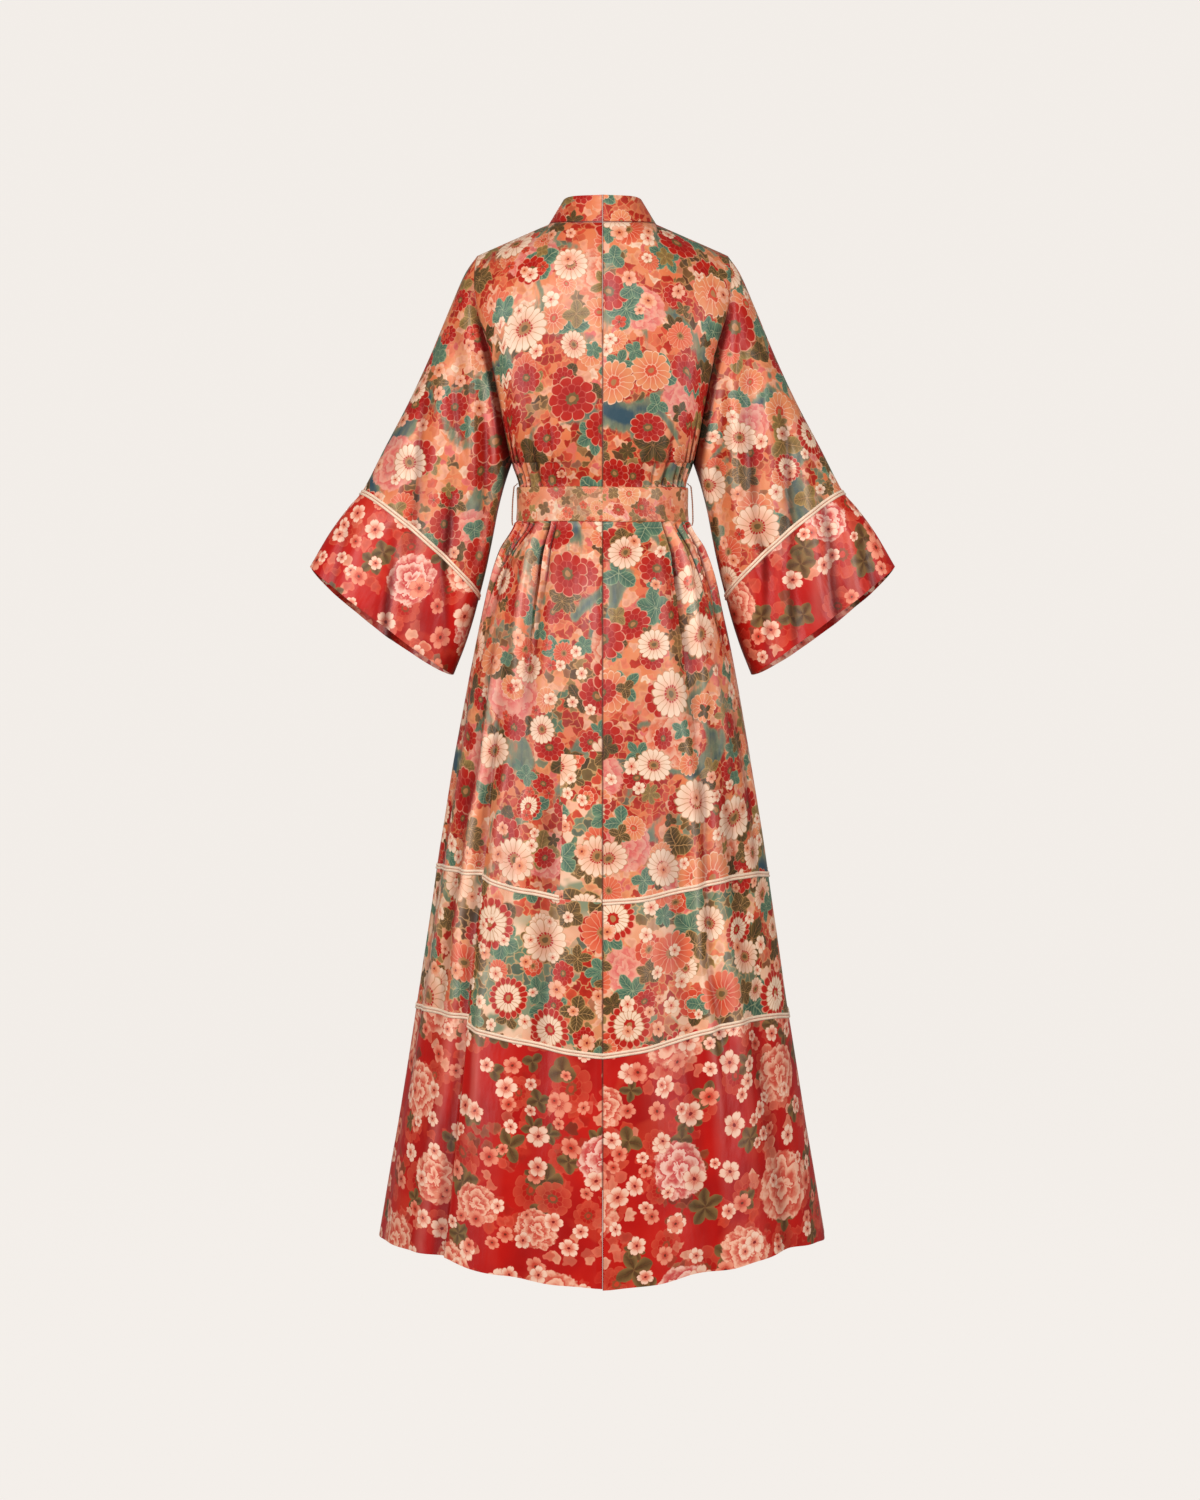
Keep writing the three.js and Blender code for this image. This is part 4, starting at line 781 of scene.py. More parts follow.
# ------------------------------------------------------------------------------------------------
# Materials
# ------------------------------------------------------------------------------------------------
class Nodes:
    """A material's node tree, written as arithmetic."""

    def __init__(self, name, group=False):
        if group:
            self.tree = bpy.data.node_groups.new(name, "ShaderNodeTree")
            return
        self.material = bpy.data.materials.new(name)
        self.material.use_nodes = True
        self.tree = self.material.node_tree
        self.shader = self.tree.nodes["Principled BSDF"]

    def put(self, socket, value):
        if isinstance(value, Val):
            value = value.out
        if isinstance(value, bpy.types.NodeSocket):
            self.tree.links.new(value, socket)
        elif isinstance(value, (tuple, list)) and len(value) == 3 and socket.type == "RGBA":
            socket.default_value = (*value, 1)
        else:
            socket.default_value = value

    def math(self, op, *args, clamp=False):
        node = self.tree.nodes.new("ShaderNodeMath")
        node.operation = op
        node.use_clamp = clamp
        for socket, value in zip(node.inputs, args):
            self.put(socket, value)
        return Val(self, node.outputs[0])

    def step(self, lo, hi, value):
        node = self.tree.nodes.new("ShaderNodeMapRange")
        node.interpolation_type = "SMOOTHSTEP"
        for key, v in (("Value", value), ("From Min", lo), ("From Max", hi)):
            self.put(node.inputs[key], v)
        return Val(self, node.outputs[0])

    def mix(self, share, a, b, blend="MIX"):
        node = self.tree.nodes.new("ShaderNodeMix")
        node.data_type = "RGBA"
        node.blend_type = blend
        self.put(node.inputs[0], share)
        self.put(node.inputs[6], a)
        self.put(node.inputs[7], b)
        return Val(self, node.outputs[2])

    def ramp(self, value, colours, smooth=False):
        """A colour for each kind 0, 1, 2 ..., or a smooth run of (place, colour)."""
        node = self.tree.nodes.new("ShaderNodeValToRGB")
        ramp = node.color_ramp
        ramp.interpolation = "LINEAR" if smooth else "CONSTANT"
        stops = colours if smooth else [(k / 8, c) for k, c in enumerate(colours)]
        while len(ramp.elements) < len(stops):
            ramp.elements.new(1.0)
        for element, (place, colour) in zip(ramp.elements, stops):
            element.position = place
        for element, (place, colour) in zip(ramp.elements, stops):
            element.color = (*colour, 1) if isinstance(colour, tuple) else (colour, colour, colour, 1)
        self.put(node.inputs[0], value)
        return Val(self, node.outputs[0])

    def attribute(self, name, output="Vector"):
        node = self.tree.nodes.new("ShaderNodeAttribute")
        node.attribute_name = name
        return Val(self, node.outputs[output])

    def parts(self, vector):
        node = self.tree.nodes.new("ShaderNodeSeparateXYZ")
        self.put(node.inputs[0], vector)
        return [Val(self, o) for o in node.outputs]

    def uv(self):
        node = self.tree.nodes.new("ShaderNodeUVMap")
        node.uv_map = "Cut"
        return Val(self, node.outputs[0])

    def noise(self, vector, scale, detail=2.0, rough=0.5, warp=0.0, output=0, dims="2D"):
        node = self.tree.nodes.new("ShaderNodeTexNoise")
        node.noise_dimensions = dims
        self.put(node.inputs["Vector"], vector)
        for key, v in (("Scale", scale), ("Detail", detail), ("Roughness", rough), ("Distortion", warp)):
            node.inputs[key].default_value = v
        return Val(self, node.outputs[output])

    def cells(self, vector, scale, feature="F1", random=1.0):
        node = self.tree.nodes.new("ShaderNodeTexVoronoi")
        node.voronoi_dimensions = "2D"
        node.feature = feature
        self.put(node.inputs["Vector"], vector)
        node.inputs["Scale"].default_value = scale
        node.inputs["Randomness"].default_value = random
        return node

    def vec(self, op, *args):
        node = self.tree.nodes.new("ShaderNodeVectorMath")
        node.operation = op
        for socket, value in zip(node.inputs, args):
            if value is not None:
                self.put(socket, value)
        return Val(self, node.outputs[0])


class Val:
    def __init__(self, nodes, out):
        self.n, self.out = nodes, out

    def __add__(self, o):
        return self.n.math("ADD", self, o)

    __radd__ = __add__

    def __mul__(self, o):
        return self.n.math("MULTIPLY", self, o)

    __rmul__ = __mul__

    def __sub__(self, o):
        return self.n.math("SUBTRACT", self, o)

    def __rsub__(self, o):
        return self.n.math("SUBTRACT", o, self)

    def __truediv__(self, o):
        return self.n.math("DIVIDE", self, o)

    def __pow__(self, o):
        return self.n.math("POWER", self, o)

    def fract(self):
        return self.n.math("FRACT", self)

    def abs(self):
        return self.n.math("ABSOLUTE", self)

    def root(self):
        return self.n.math("SQRT", self)

    def high(self, o):
        return self.n.math("MAXIMUM", self, o)

    def low(self, o):
        return self.n.math("MINIMUM", self, o)


def srgb(r, g, b):
    return tuple(((c / 255 + 0.055) / 1.055) ** 2.4 if c > 10 else c / 3294.6 for c in (r, g, b))


CREAM, PEACH, SALMON = srgb(247, 222, 200), srgb(233, 158, 116), srgb(226, 118, 88)
ORANGE, CORAL, RED = srgb(228, 134, 90), srgb(214, 80, 54), srgb(188, 35, 18)
DEEP_RED, WINE, PINK = srgb(172, 20, 12), srgb(138, 28, 24), srgb(228, 118, 122)
OLIVE, DARK_OLIVE, TAN = srgb(116, 96, 56), srgb(74, 60, 36), srgb(180, 132, 88)
TEAL, DARK_TEAL, BLUE = srgb(98, 142, 122), srgb(58, 102, 94), srgb(36, 78, 108)
GOLD, BLUSH, ROSE = srgb(214, 176, 120), srgb(242, 190, 168), srgb(206, 92, 84)


def polar(n, layer):
    own = n.attribute(layer)
    x, y, kind = n.parts(own)
    wander = n.parts(n.noise(own, 1.9, 1.5, 0.6, output=1))
    x = x + (wander[0] - 0.5) * 0.2
    y = y + (wander[1] - 0.5) * 0.2
    r = (x * x + y * y).root()
    turn = n.math("ARCTAN2", y, x) * (0.5 / math.pi)
    return x, y, kind * 0.125, kind.fract(), r, turn


def petals(n, r, turn, count, size, shift=0.0, tip=(0.2, 0.8), line=0.03):
    """One ring of petals: how far inside it a point is, its outline, and how near its petal's axis."""
    q = ((turn * count + shift).fract() - 0.5).abs() * 2
    edge = ((1 - q * q).root() * tip[0] + tip[1]) * size
    inside = n.step(edge, edge - 0.035, r)
    side = (1 - q) * r * math.pi / count
    rim = n.step(edge - 0.085, edge - 0.045, r)
    outline = n.step(line, 0.0, side).high(rim)
    return q, inside, outline


def rosettes(n, layer):
    """Round flowers: a chrysanthemum's outer petals, inner petals, a ring and a centre."""
    x, y, kind, var, r, turn = polar(n, layer)
    # kinds: 0 cream, 1 red, 2 coral, 3 salmon with fine rays, 4 red outside and cream inside, 5 coral wide, 6 tone on red
    count = n.ramp(kind, [0.5, 0.31, 0.25, 0.44, 0.56, 0.5, 0.28])
    count = n.math("ROUND", count * 32.0)
    q, m1, l1 = petals(n, r, turn, count, 1.0)
    outer = n.ramp(kind, [CREAM, RED, CORAL, PEACH, RED, SALMON, srgb(214, 92, 70)])
    deep = n.ramp(kind, [BLUSH, DEEP_RED, RED, SALMON, DEEP_RED, CORAL, RED])
    lines = n.ramp(kind, [TAN, BLUSH, BLUSH, CREAM, BLUSH, BLUSH, SALMON])
    c = n.mix(n.step(0.2, 0.95, r + var * 0.4 - 0.15), deep, outer)
    c = n.mix(l1 * 0.7, c, lines)
    size2 = n.ramp(kind, [0.42, 0.62, 0.60, 0.36, 0.70, 0.22, 0.58])
    q, m2, l2 = petals(n, r, turn, count, size2, 0.5)
    inner = n.ramp(kind, [RED, DEEP_RED, SALMON, SALMON, CREAM, CORAL, RED])
    c2 = n.mix(l2 * 0.65, inner, n.ramp(kind, [CREAM, ROSE, CREAM, CREAM, TAN, CREAM, SALMON]))
    c = n.mix(m2, c, c2)
    ring = n.step(0.28, 0.25, r + n.math("SINE", turn * 56.5) * 0.02)
    c = n.mix(ring, c, n.ramp(kind, [TAN, OLIVE, TAN, CORAL, RED, TAN, OLIVE]))
    core = n.step(0.15, 0.12, r)
    c = n.mix(core, c, n.ramp(kind, [OLIVE, TAN, OLIVE, TAN, TAN, OLIVE, CORAL]))
    return c, m1


def leaves(n, layer):
    """Lobed leaves and whorls, with a midrib in each lobe, side veins and a fine outline."""
    x, y, kind, var, r, turn = polar(n, layer)
    # kinds: 0 olive, 1 dark olive, 2 teal, 3 pale olive, 4 soft olive on red
    count = n.math("ROUND", var * 3.4 + 2.6)
    q = ((turn * count).fract() - 0.5).abs() * 2
    deep = (var * 7.3).fract() * 0.34 + 0.3
    teeth = (r * 7.0 + q * 2.0).fract() * 0.05
    edge = (1 - q ** 1.6) * deep + (1 - deep) - teeth
    m = n.step(edge, edge - 0.04, r)
    line = n.step(edge - 0.09, edge - 0.05, r).high(n.step(0.05, 0.015, (1 - q) * r * 2.0))
    rib = n.step(0.06, 0.02, q * r * 2.0)
    veins = n.step(0.38, 0.46, ((r * 5.0 - q * r * 4.0).fract() - 0.5).abs())
    dark = n.ramp(kind, [DARK_OLIVE, srgb(58, 50, 30), DARK_TEAL, OLIVE, srgb(70, 62, 34)])
    light = n.ramp(kind, [OLIVE, srgb(98, 84, 44), TEAL, srgb(158, 140, 84), srgb(134, 124, 78)])
    c = n.mix(n.step(0.1, 0.95, q * 0.7 + r * 0.45), dark, light)
    gold = n.ramp(kind, [GOLD, TAN, srgb(170, 196, 164), GOLD, TAN])
    fine = n.ramp(kind, [0.7, 0.55, 0.7, 0.55, 0.16])
    c = n.mix(veins * fine * 0.5, c, gold)
    c = n.mix(line.high(rib) * fine, c, gold)
    return c, m


def blooms(n, layer):
    """Five-petalled blossoms with a small eye and stamens."""
    x, y, kind, var, r, turn = polar(n, layer)
    # kinds: 0 cream, 1 peach, 2 red, 3 blush on red, 4 rose on red
    q, m, l = petals(n, r, turn, 5.0, 1.0, tip=(0.46, 0.54), line=0.07)
    notch = n.step(0.22, 0.0, q) * n.step(0.84, 0.92, r)
    m = m * (1 - notch)
    tip = n.ramp(kind, [CREAM, BLUSH, CORAL, srgb(253, 224, 202), srgb(242, 172, 150)])
    base = n.ramp(kind, [BLUSH, PEACH, RED, srgb(232, 144, 122), CORAL])
    c = n.mix(n.step(0.1, 0.8, r + var * 0.3 - 0.1), base, tip)
    c = n.mix(l * 0.5, c, n.ramp(kind, [TAN, SALMON, BLUSH, ROSE, ROSE]))
    stamen = n.step(0.3, 0.12, ((turn * 15.0).fract() - 0.5).abs()) * n.step(0.44, 0.36, r)
    c = n.mix(stamen * 0.55, c, n.ramp(kind, [CORAL, RED, WINE, ROSE, DEEP_RED]))
    c = n.mix(n.step(0.17, 0.12, r), c, n.ramp(kind, [RED, WINE, OLIVE, WINE, srgb(120, 50, 30)]))
    return c, m


def peonies(n, layer):
    """Full flowers of ruffled petals, pale at their rims and deep where they tuck in."""
    x, y, kind, var, r, turn = polar(n, layer)
    where = n.attribute(layer)
    ruffle = n.noise(where, 1.7, 3.0, 0.62)
    frill = n.noise(where, 4.2, 2.0, 0.6)
    rr = r + (ruffle - 0.5) * 0.62
    m = n.step(1.0, 0.93, r + (frill - 0.5) * 0.3 + n.math("SINE", turn * 44.0) * 0.03)
    ring = rr * 2.7 + (frill - 0.5) * 0.5
    which = n.math("FLOOR", ring)
    scallop = ((turn * (which * 1.7 + 3.3) + which * 0.37 + ruffle * 0.7).fract() - 0.5).abs() * 2
    depth = (ring + scallop * scallop * 0.55).fract()
    # kinds: 0 watery pink, 1 watery peach, 2 bright pink on red, 3 blush on red
    dark = n.ramp(kind, [PINK, SALMON, srgb(210, 88, 92), srgb(214, 96, 80)])
    pale = n.ramp(kind, [srgb(240, 176, 168), BLUSH, srgb(250, 214, 202), srgb(250, 206, 182)])
    c = n.mix(n.step(0.05, 0.8, depth), dark, pale)
    c = n.mix(n.step(0.94, 1.0, depth.high(scallop * 0.98)) * 0.3, c, n.ramp(kind, [BLUSH, CREAM, srgb(196, 70, 74), ROSE]))
    return c, m


FAMILY = {"peony": peonies, "leaf_a": leaves, "leaf_b": leaves, "rose_a": rosettes, "rose_b": rosettes,
          "bloom_a": blooms, "bloom_b": blooms}
GROUPS = {}
for layer, build in FAMILY.items():
    g = Nodes("motif_" + layer, group=True)
    g.tree.interface.new_socket("Colour", in_out="OUTPUT", socket_type="NodeSocketColor")
    g.tree.interface.new_socket("Share", in_out="OUTPUT", socket_type="NodeSocketFloat")
    end = g.tree.nodes.new("NodeGroupOutput")
    colour, share = build(g, layer)
    g.put(end.inputs[0], colour)
    g.put(end.inputs[1], share)
    GROUPS[layer] = g.tree


def motif(n, layer, base, strength=1.0):
    node = n.tree.nodes.new("ShaderNodeGroup")
    node.node_tree = GROUPS[layer]
    share = Val(n, node.outputs[1])
    if strength != 1.0:
        share = share * strength
    return n.mix(share, base, Val(n, node.outputs[0]))


WASH = {"upper": (0.92, 0.75, 0.62), "mid": (1.0, 0.81, 0.65), "red": (0.98, 0.68, 0.56), "sash": (0.96, 1.02, 0.92)}


def satin(name, which):
    n = Nodes(name)
    uv = n.uv()
    slow = n.noise(uv, 9.0, 3.0, 0.55)
    patchy = n.noise(n.vec("ADD", uv, (3.1, 7.7, 0.0)), 13.0, 2.5, 0.55, 0.4)
    cloud = n.noise(n.vec("ADD", uv, (11.3, 2.9, 0.0)), 11.0, 2.0, 0.5, 0.8)
    if which == "upper":
        base = n.ramp(slow, [(0.28, SALMON), (0.42, ORANGE), (0.52, srgb(230, 144, 102)), (0.62, srgb(236, 166, 128)), (0.75, PINK)], True)
        base = n.mix(n.step(0.6, 0.7, patchy) * 0.6, base, PINK)
    elif which == "mid":
        base = n.ramp(slow, [(0.3, PEACH), (0.42, srgb(232, 172, 142)), (0.52, srgb(240, 200, 176)), (0.64, srgb(244, 214, 190)), (0.75, BLUSH)], True)
        base = n.mix(n.step(0.54, 0.62, cloud) * 0.85, base, TEAL)
    elif which == "red":
        base = n.ramp(slow, [(0.3, srgb(170, 11, 4)), (0.5, srgb(190, 18, 8)), (0.7, srgb(202, 31, 16))], True)
        base = n.mix(n.step(0.6, 0.72, cloud) * 0.4, base, CORAL)
    else:
        base = n.ramp(slow, [(0.28, SALMON), (0.45, srgb(226, 132, 98)), (0.6, srgb(232, 156, 122)), (0.75, BLUSH)], True)
        base = n.mix(n.step(0.6, 0.7, cloud) * 0.5, base, srgb(150, 150, 120))
    # small petals and leaflets side by side under everything, in patches, each in a fine gold line
    bent = n.vec("ADD", uv, n.vec("SCALE", n.noise(uv, 92.0, 1.0, 0.5, output=1), None, None, 0.0125))
    size = {"upper": 102.0, "mid": 78.0, "red": 62.0, "sash": 165.0}[which]
    small, rims = n.cells(bent, size), n.cells(bent, size, "DISTANCE_TO_EDGE")
    tint = n.parts(Val(n, small.outputs["Color"]))
    spot = Val(n, small.outputs["Position"])
    where = Val(n, small.outputs["Distance"])
    zone_a = n.noise(spot, 12.0, 2.0, 0.55)
    zone_b = n.noise(n.vec("ADD", spot, (5.3, 9.1, 0.0)), 14.0, 2.0, 0.55)
    zone_c = n.noise(n.vec("ADD", spot, (1.7, 4.4, 0.0)), 9.0, 1.0, 0.5)
    reds = [RED, CORAL, RED, DEEP_RED, SALMON, RED, CORAL, BLUSH]
    greens = [OLIVE, DARK_OLIVE, srgb(134, 112, 66), OLIVE, DARK_OLIVE, OLIVE, srgb(150, 128, 80), srgb(92, 84, 52)]
    teals = [TEAL, DARK_TEAL, TEAL, srgb(122, 158, 138), TEAL, OLIVE, DARK_TEAL, TEAL]
    pales = [BLUSH, CREAM, srgb(238, 170, 140), PINK, PEACH, BLUSH, PEACH, srgb(236, 140, 112)]
    if which == "red":
        plan = [(n.step(0.565, 0.58, zone_a), [srgb(240, 176, 150), srgb(230, 130, 108), srgb(245, 200, 176), CORAL, srgb(236, 156, 132), srgb(214, 92, 72), srgb(244, 190, 164), srgb(226, 118, 98)], 0.92),
                (n.step(0.585, 0.6, zone_b), [srgb(214, 60, 46), srgb(220, 76, 56), CORAL, srgb(212, 62, 48), RED, srgb(226, 92, 70), RED, CORAL], 0.8),
                (n.step(0.66, 0.675, zone_c), [srgb(120, 84, 50), srgb(140, 104, 64), srgb(98, 62, 36), srgb(120, 84, 50), srgb(150, 84, 56), srgb(98, 62, 36), srgb(128, 92, 56), srgb(120, 84, 50)], 0.7)]
        line, fine = srgb(236, 150, 124), 0.22
    elif which == "mid":
        plan = [(n.step(0.47, 0.455, zone_a), pales, 0.9), (n.step(0.53, 0.545, zone_b), greens, 0.95),
                (n.step(0.55, 0.565, zone_c), teals, 0.9), (n.step(0.57, 0.585, zone_a), reds, 0.95)]
        line, fine = srgb(226, 190, 140), 0.6
    elif which == "upper":
        plan = [(n.step(0.45, 0.435, zone_a), pales, 0.85), (n.step(0.595, 0.61, zone_b), greens, 0.92),
                (n.step(0.61, 0.625, zone_c), teals, 0.85), (n.step(0.482, 0.497, zone_a), reds, 0.92)]
        line, fine = srgb(228, 176, 124), 0.55
    else:
        plan = [(n.step(0.46, 0.445, zone_a), pales, 0.7), (n.step(0.54, 0.555, zone_b), greens, 0.6),
                (n.step(0.56, 0.575, zone_a), [SALMON, CORAL, SALMON, RED, CORAL, PINK, SALMON, BLUSH], 0.7)]
        line, fine = srgb(236, 190, 150), 0.4
    c, shown = base, 0.0
    for share, colours, strength in plan:
        share = share * n.step(0.06, 0.14, tint[1]) * strength
        if which == "red":
            share = share * n.step(0.56, 0.46, where)
        c = n.mix(share, c, n.ramp(tint[0], colours))
        shown = share.high(shown)
    c = n.mix(n.step(0.5, 0.1, where) * shown * 0.3, c, n.mix(1.0, c, srgb(176, 120, 104), "MULTIPLY"))
    c = n.mix(n.step(0.1, 0.035, Val(n, rims.outputs["Distance"])) * shown * fine, c, line)
    if which == "upper":
        feather = cloud + (n.noise(n.vec("MULTIPLY", uv, (150.0, 45.0, 1.0)), 1.0, 2.5, 0.6) - 0.5) * 0.11
        c = n.mix(n.step(0.59, 0.66, feather) * 0.85, c, TEAL)
        c = n.mix(n.step(0.64, 0.78, feather) * 0.9, c, BLUE)
    if which != "red":
        for layer, strength in (("peony", 0.85), ("leaf_a", 1.0), ("rose_a", 1.0), ("leaf_b", 1.0), ("rose_b", 1.0)):
            c = motif(n, layer, c, strength)
    else:
        for layer, strength in (("rose_a", 0.6), ("leaf_a", 0.96), ("leaf_b", 0.94), ("rose_b", 0.8), ("peony", 1.0)):
            c = motif(n, layer, c, strength)
    c = motif(n, "bloom_a", c)
    c = motif(n, "bloom_b", c)
    if which == "sash":
        c = n.mix(0.16, c, srgb(226, 138, 104))
    # the dye lies unevenly, darker and lighter in soft washes
    c = n.mix(n.step(0.35, 0.7, patchy) * 0.22, c, n.mix(0.5, c, srgb(150, 60, 44), "MULTIPLY"))
    # the ground's warm tone shows through every colour
    pale = n.step(0.34, 0.78, n.parts(c)[1])
    c = n.mix(1.0 - pale * 0.5, c, n.mix(1.0, c, WASH[which], "MULTIPLY"))
    # painted shade deep in a fold, where less light comes in, and painted highlight along a ridge, where the satin
    # catches the light
    fold = n.attribute("fold", "Fac")
    c = n.mix(n.step(0.2, 3.2, fold) * 0.9, c, n.mix(1.0, c, srgb(116, 54, 46), "MULTIPLY"))
    c = n.mix(n.step(-0.2, -3.0, fold) * 0.76, c, n.mix(1.0, c, srgb(112, 94, 84), "ADD"))
    # a stronger painted highlight on the highest ridges and along the sleeves' light band
    c = n.mix(n.step(-2.6, -4.6, fold) * 0.8, c, n.mix(1.0, c, srgb(116, 94, 82), "ADD"))
    # sewn seams: a fine dark line where two pieces meet, painted shade in the seam
    sewn = n.attribute("seam", "Fac")
    c = n.mix(n.step(1.9, 0.5, sewn) * 0.62, c, srgb(84, 40, 32))
    # satin: warp threads along the cut's length, tiny slubs, soft uneven gloss
    s = n.shader
    n.put(s.inputs["Base Color"], c)
    weave = n.noise(n.vec("MULTIPLY", uv, (2600.0, 240.0, 1.0)), 1.0, 1.0, 0.5)
    rumple = n.noise(n.vec("MULTIPLY", uv, (34.0, 11.0, 1.0)), 1.0, 3.0, 0.5)
    bump1 = n.tree.nodes.new("ShaderNodeBump")
    bump1.inputs["Strength"].default_value = 0.35
    bump1.inputs["Distance"].default_value = 0.005
    n.put(bump1.inputs["Height"], rumple)
    bump2 = n.tree.nodes.new("ShaderNodeBump")
    bump2.inputs["Strength"].default_value = 0.12
    bump2.inputs["Distance"].default_value = 0.0002
    n.put(bump2.inputs["Height"], weave)
    n.tree.links.new(bump1.outputs[0], bump2.inputs["Normal"])
    n.tree.links.new(bump2.outputs[0], s.inputs["Normal"])
    n.put(s.inputs["Roughness"], n.noise(uv, 24.0, 2.0, 0.5) * 0.14 + 0.3)
    s.inputs["Specular IOR Level"].default_value = 0.34
    s.inputs["Sheen Weight"].default_value = 0.02
    s.inputs["Sheen Roughness"].default_value = 0.4
    return n.material


def cord_cloth(name, colour, line):
    """Bias-cut satin piping, two cords side by side with a fine line of stitching between them."""
    n = Nodes(name)
    u, v, _ = n.parts(n.uv())
    groove = n.step(0.0008, 0.0002, v.abs())
    tone = n.noise(n.uv(), 90.0, 2.0, 0.5)
    c = n.mix(n.step(0.3, 0.7, tone), colour, tuple(0.9 * k for k in colour))
    stitch = n.step(0.2, 0.3, ((u * 420.0).fract() - 0.5).abs())
    c = n.mix(groove * (0.75 + 0.25 * stitch), c, line)
    s = n.shader
    n.put(s.inputs["Base Color"], c)
    n.put(s.inputs["Roughness"], n.noise(n.uv(), 60.0) * 0.2 + 0.32)
    twill = n.math("SINE", (u + v * 0.9) * 5200.0)
    bump = n.tree.nodes.new("ShaderNodeBump")
    bump.inputs["Strength"].default_value = 0.2
    bump.inputs["Distance"].default_value = 0.0002
    n.put(bump.inputs["Height"], twill)
    n.tree.links.new(bump.outputs[0], s.inputs["Normal"])
    s.inputs["Sheen Weight"].default_value = 0.1
    return n.material


MATS = {
    "satin_print": satin("satin_print", "upper"),
    "satin_mid": satin("satin_mid", "mid"),
    "satin_red": satin("satin_red", "red"),
    "satin_sash": satin("satin_sash", "sash"),
    "piping": cord_cloth("piping", srgb(244, 212, 184), srgb(186, 112, 88)),
    "thread": cord_cloth("thread", srgb(196, 140, 112), srgb(150, 90, 70)),
}


# ------------------------------------------------------------------------------------------------
# The robe
# ------------------------------------------------------------------------------------------------
THICK = 1.0
GAP = 0.15
PIPE = np.array([-3.9, -3.8, -3.1, -2.1, -1.1, -0.4, 0.0, 0.4, 1.1, 2.1, 3.1, 3.8, 3.9])
PIPE_HIGH = np.array([0.0, 0.7, 1.35, 1.6, 1.35, 0.75, 0.45, 0.75, 1.35, 1.6, 1.35, 0.7, 0.0])


def piping(name, node, rows, n, at, side, closed=False):
    """Two soft cords side by side along one row of a grid of cloth."""
    line, lean = rows[at], n[at]
    down = rows[at + 1] - rows[at - 1]
    down -= lean * (down * lean).sum(-1, keepdims=True)
    down /= np.linalg.norm(down, axis=-1, keepdims=True)
    grid = np.stack([line + down * w + lean * (h + 0.25) for w, h in zip(PIPE, PIPE_HIGH)])
    u = arc(line[None], 1)[0]
    uv = np.stack([np.broadcast_to(u, grid.shape[:2]), np.broadcast_to(PIPE[:, None], grid.shape[:2])], -1)
    lean = np.broadcast_to(lean, grid.shape)
    o = shell(name, grid, lean, uv, 0.0, side, MATS["piping"], closed=closed)
    # the under side is flat on the cloth
    R, C = grid.shape[:2]
    co = np.empty(len(o.data.vertices) * 3)
    o.data.vertices.foreach_get("co", co)
    co = co.reshape(-1, 3)
    flat = np.stack([line + down * w + n[at] * 0.1 for w in PIPE]).reshape(-1, 3) * 0.001
    if side < 0:
        flat[:, 0] *= -1
    co[R * C:] = flat
    o.data.vertices.foreach_set("co", co.ravel())
    o.data.update()
    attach(o, "root")
    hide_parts(node)
    return o


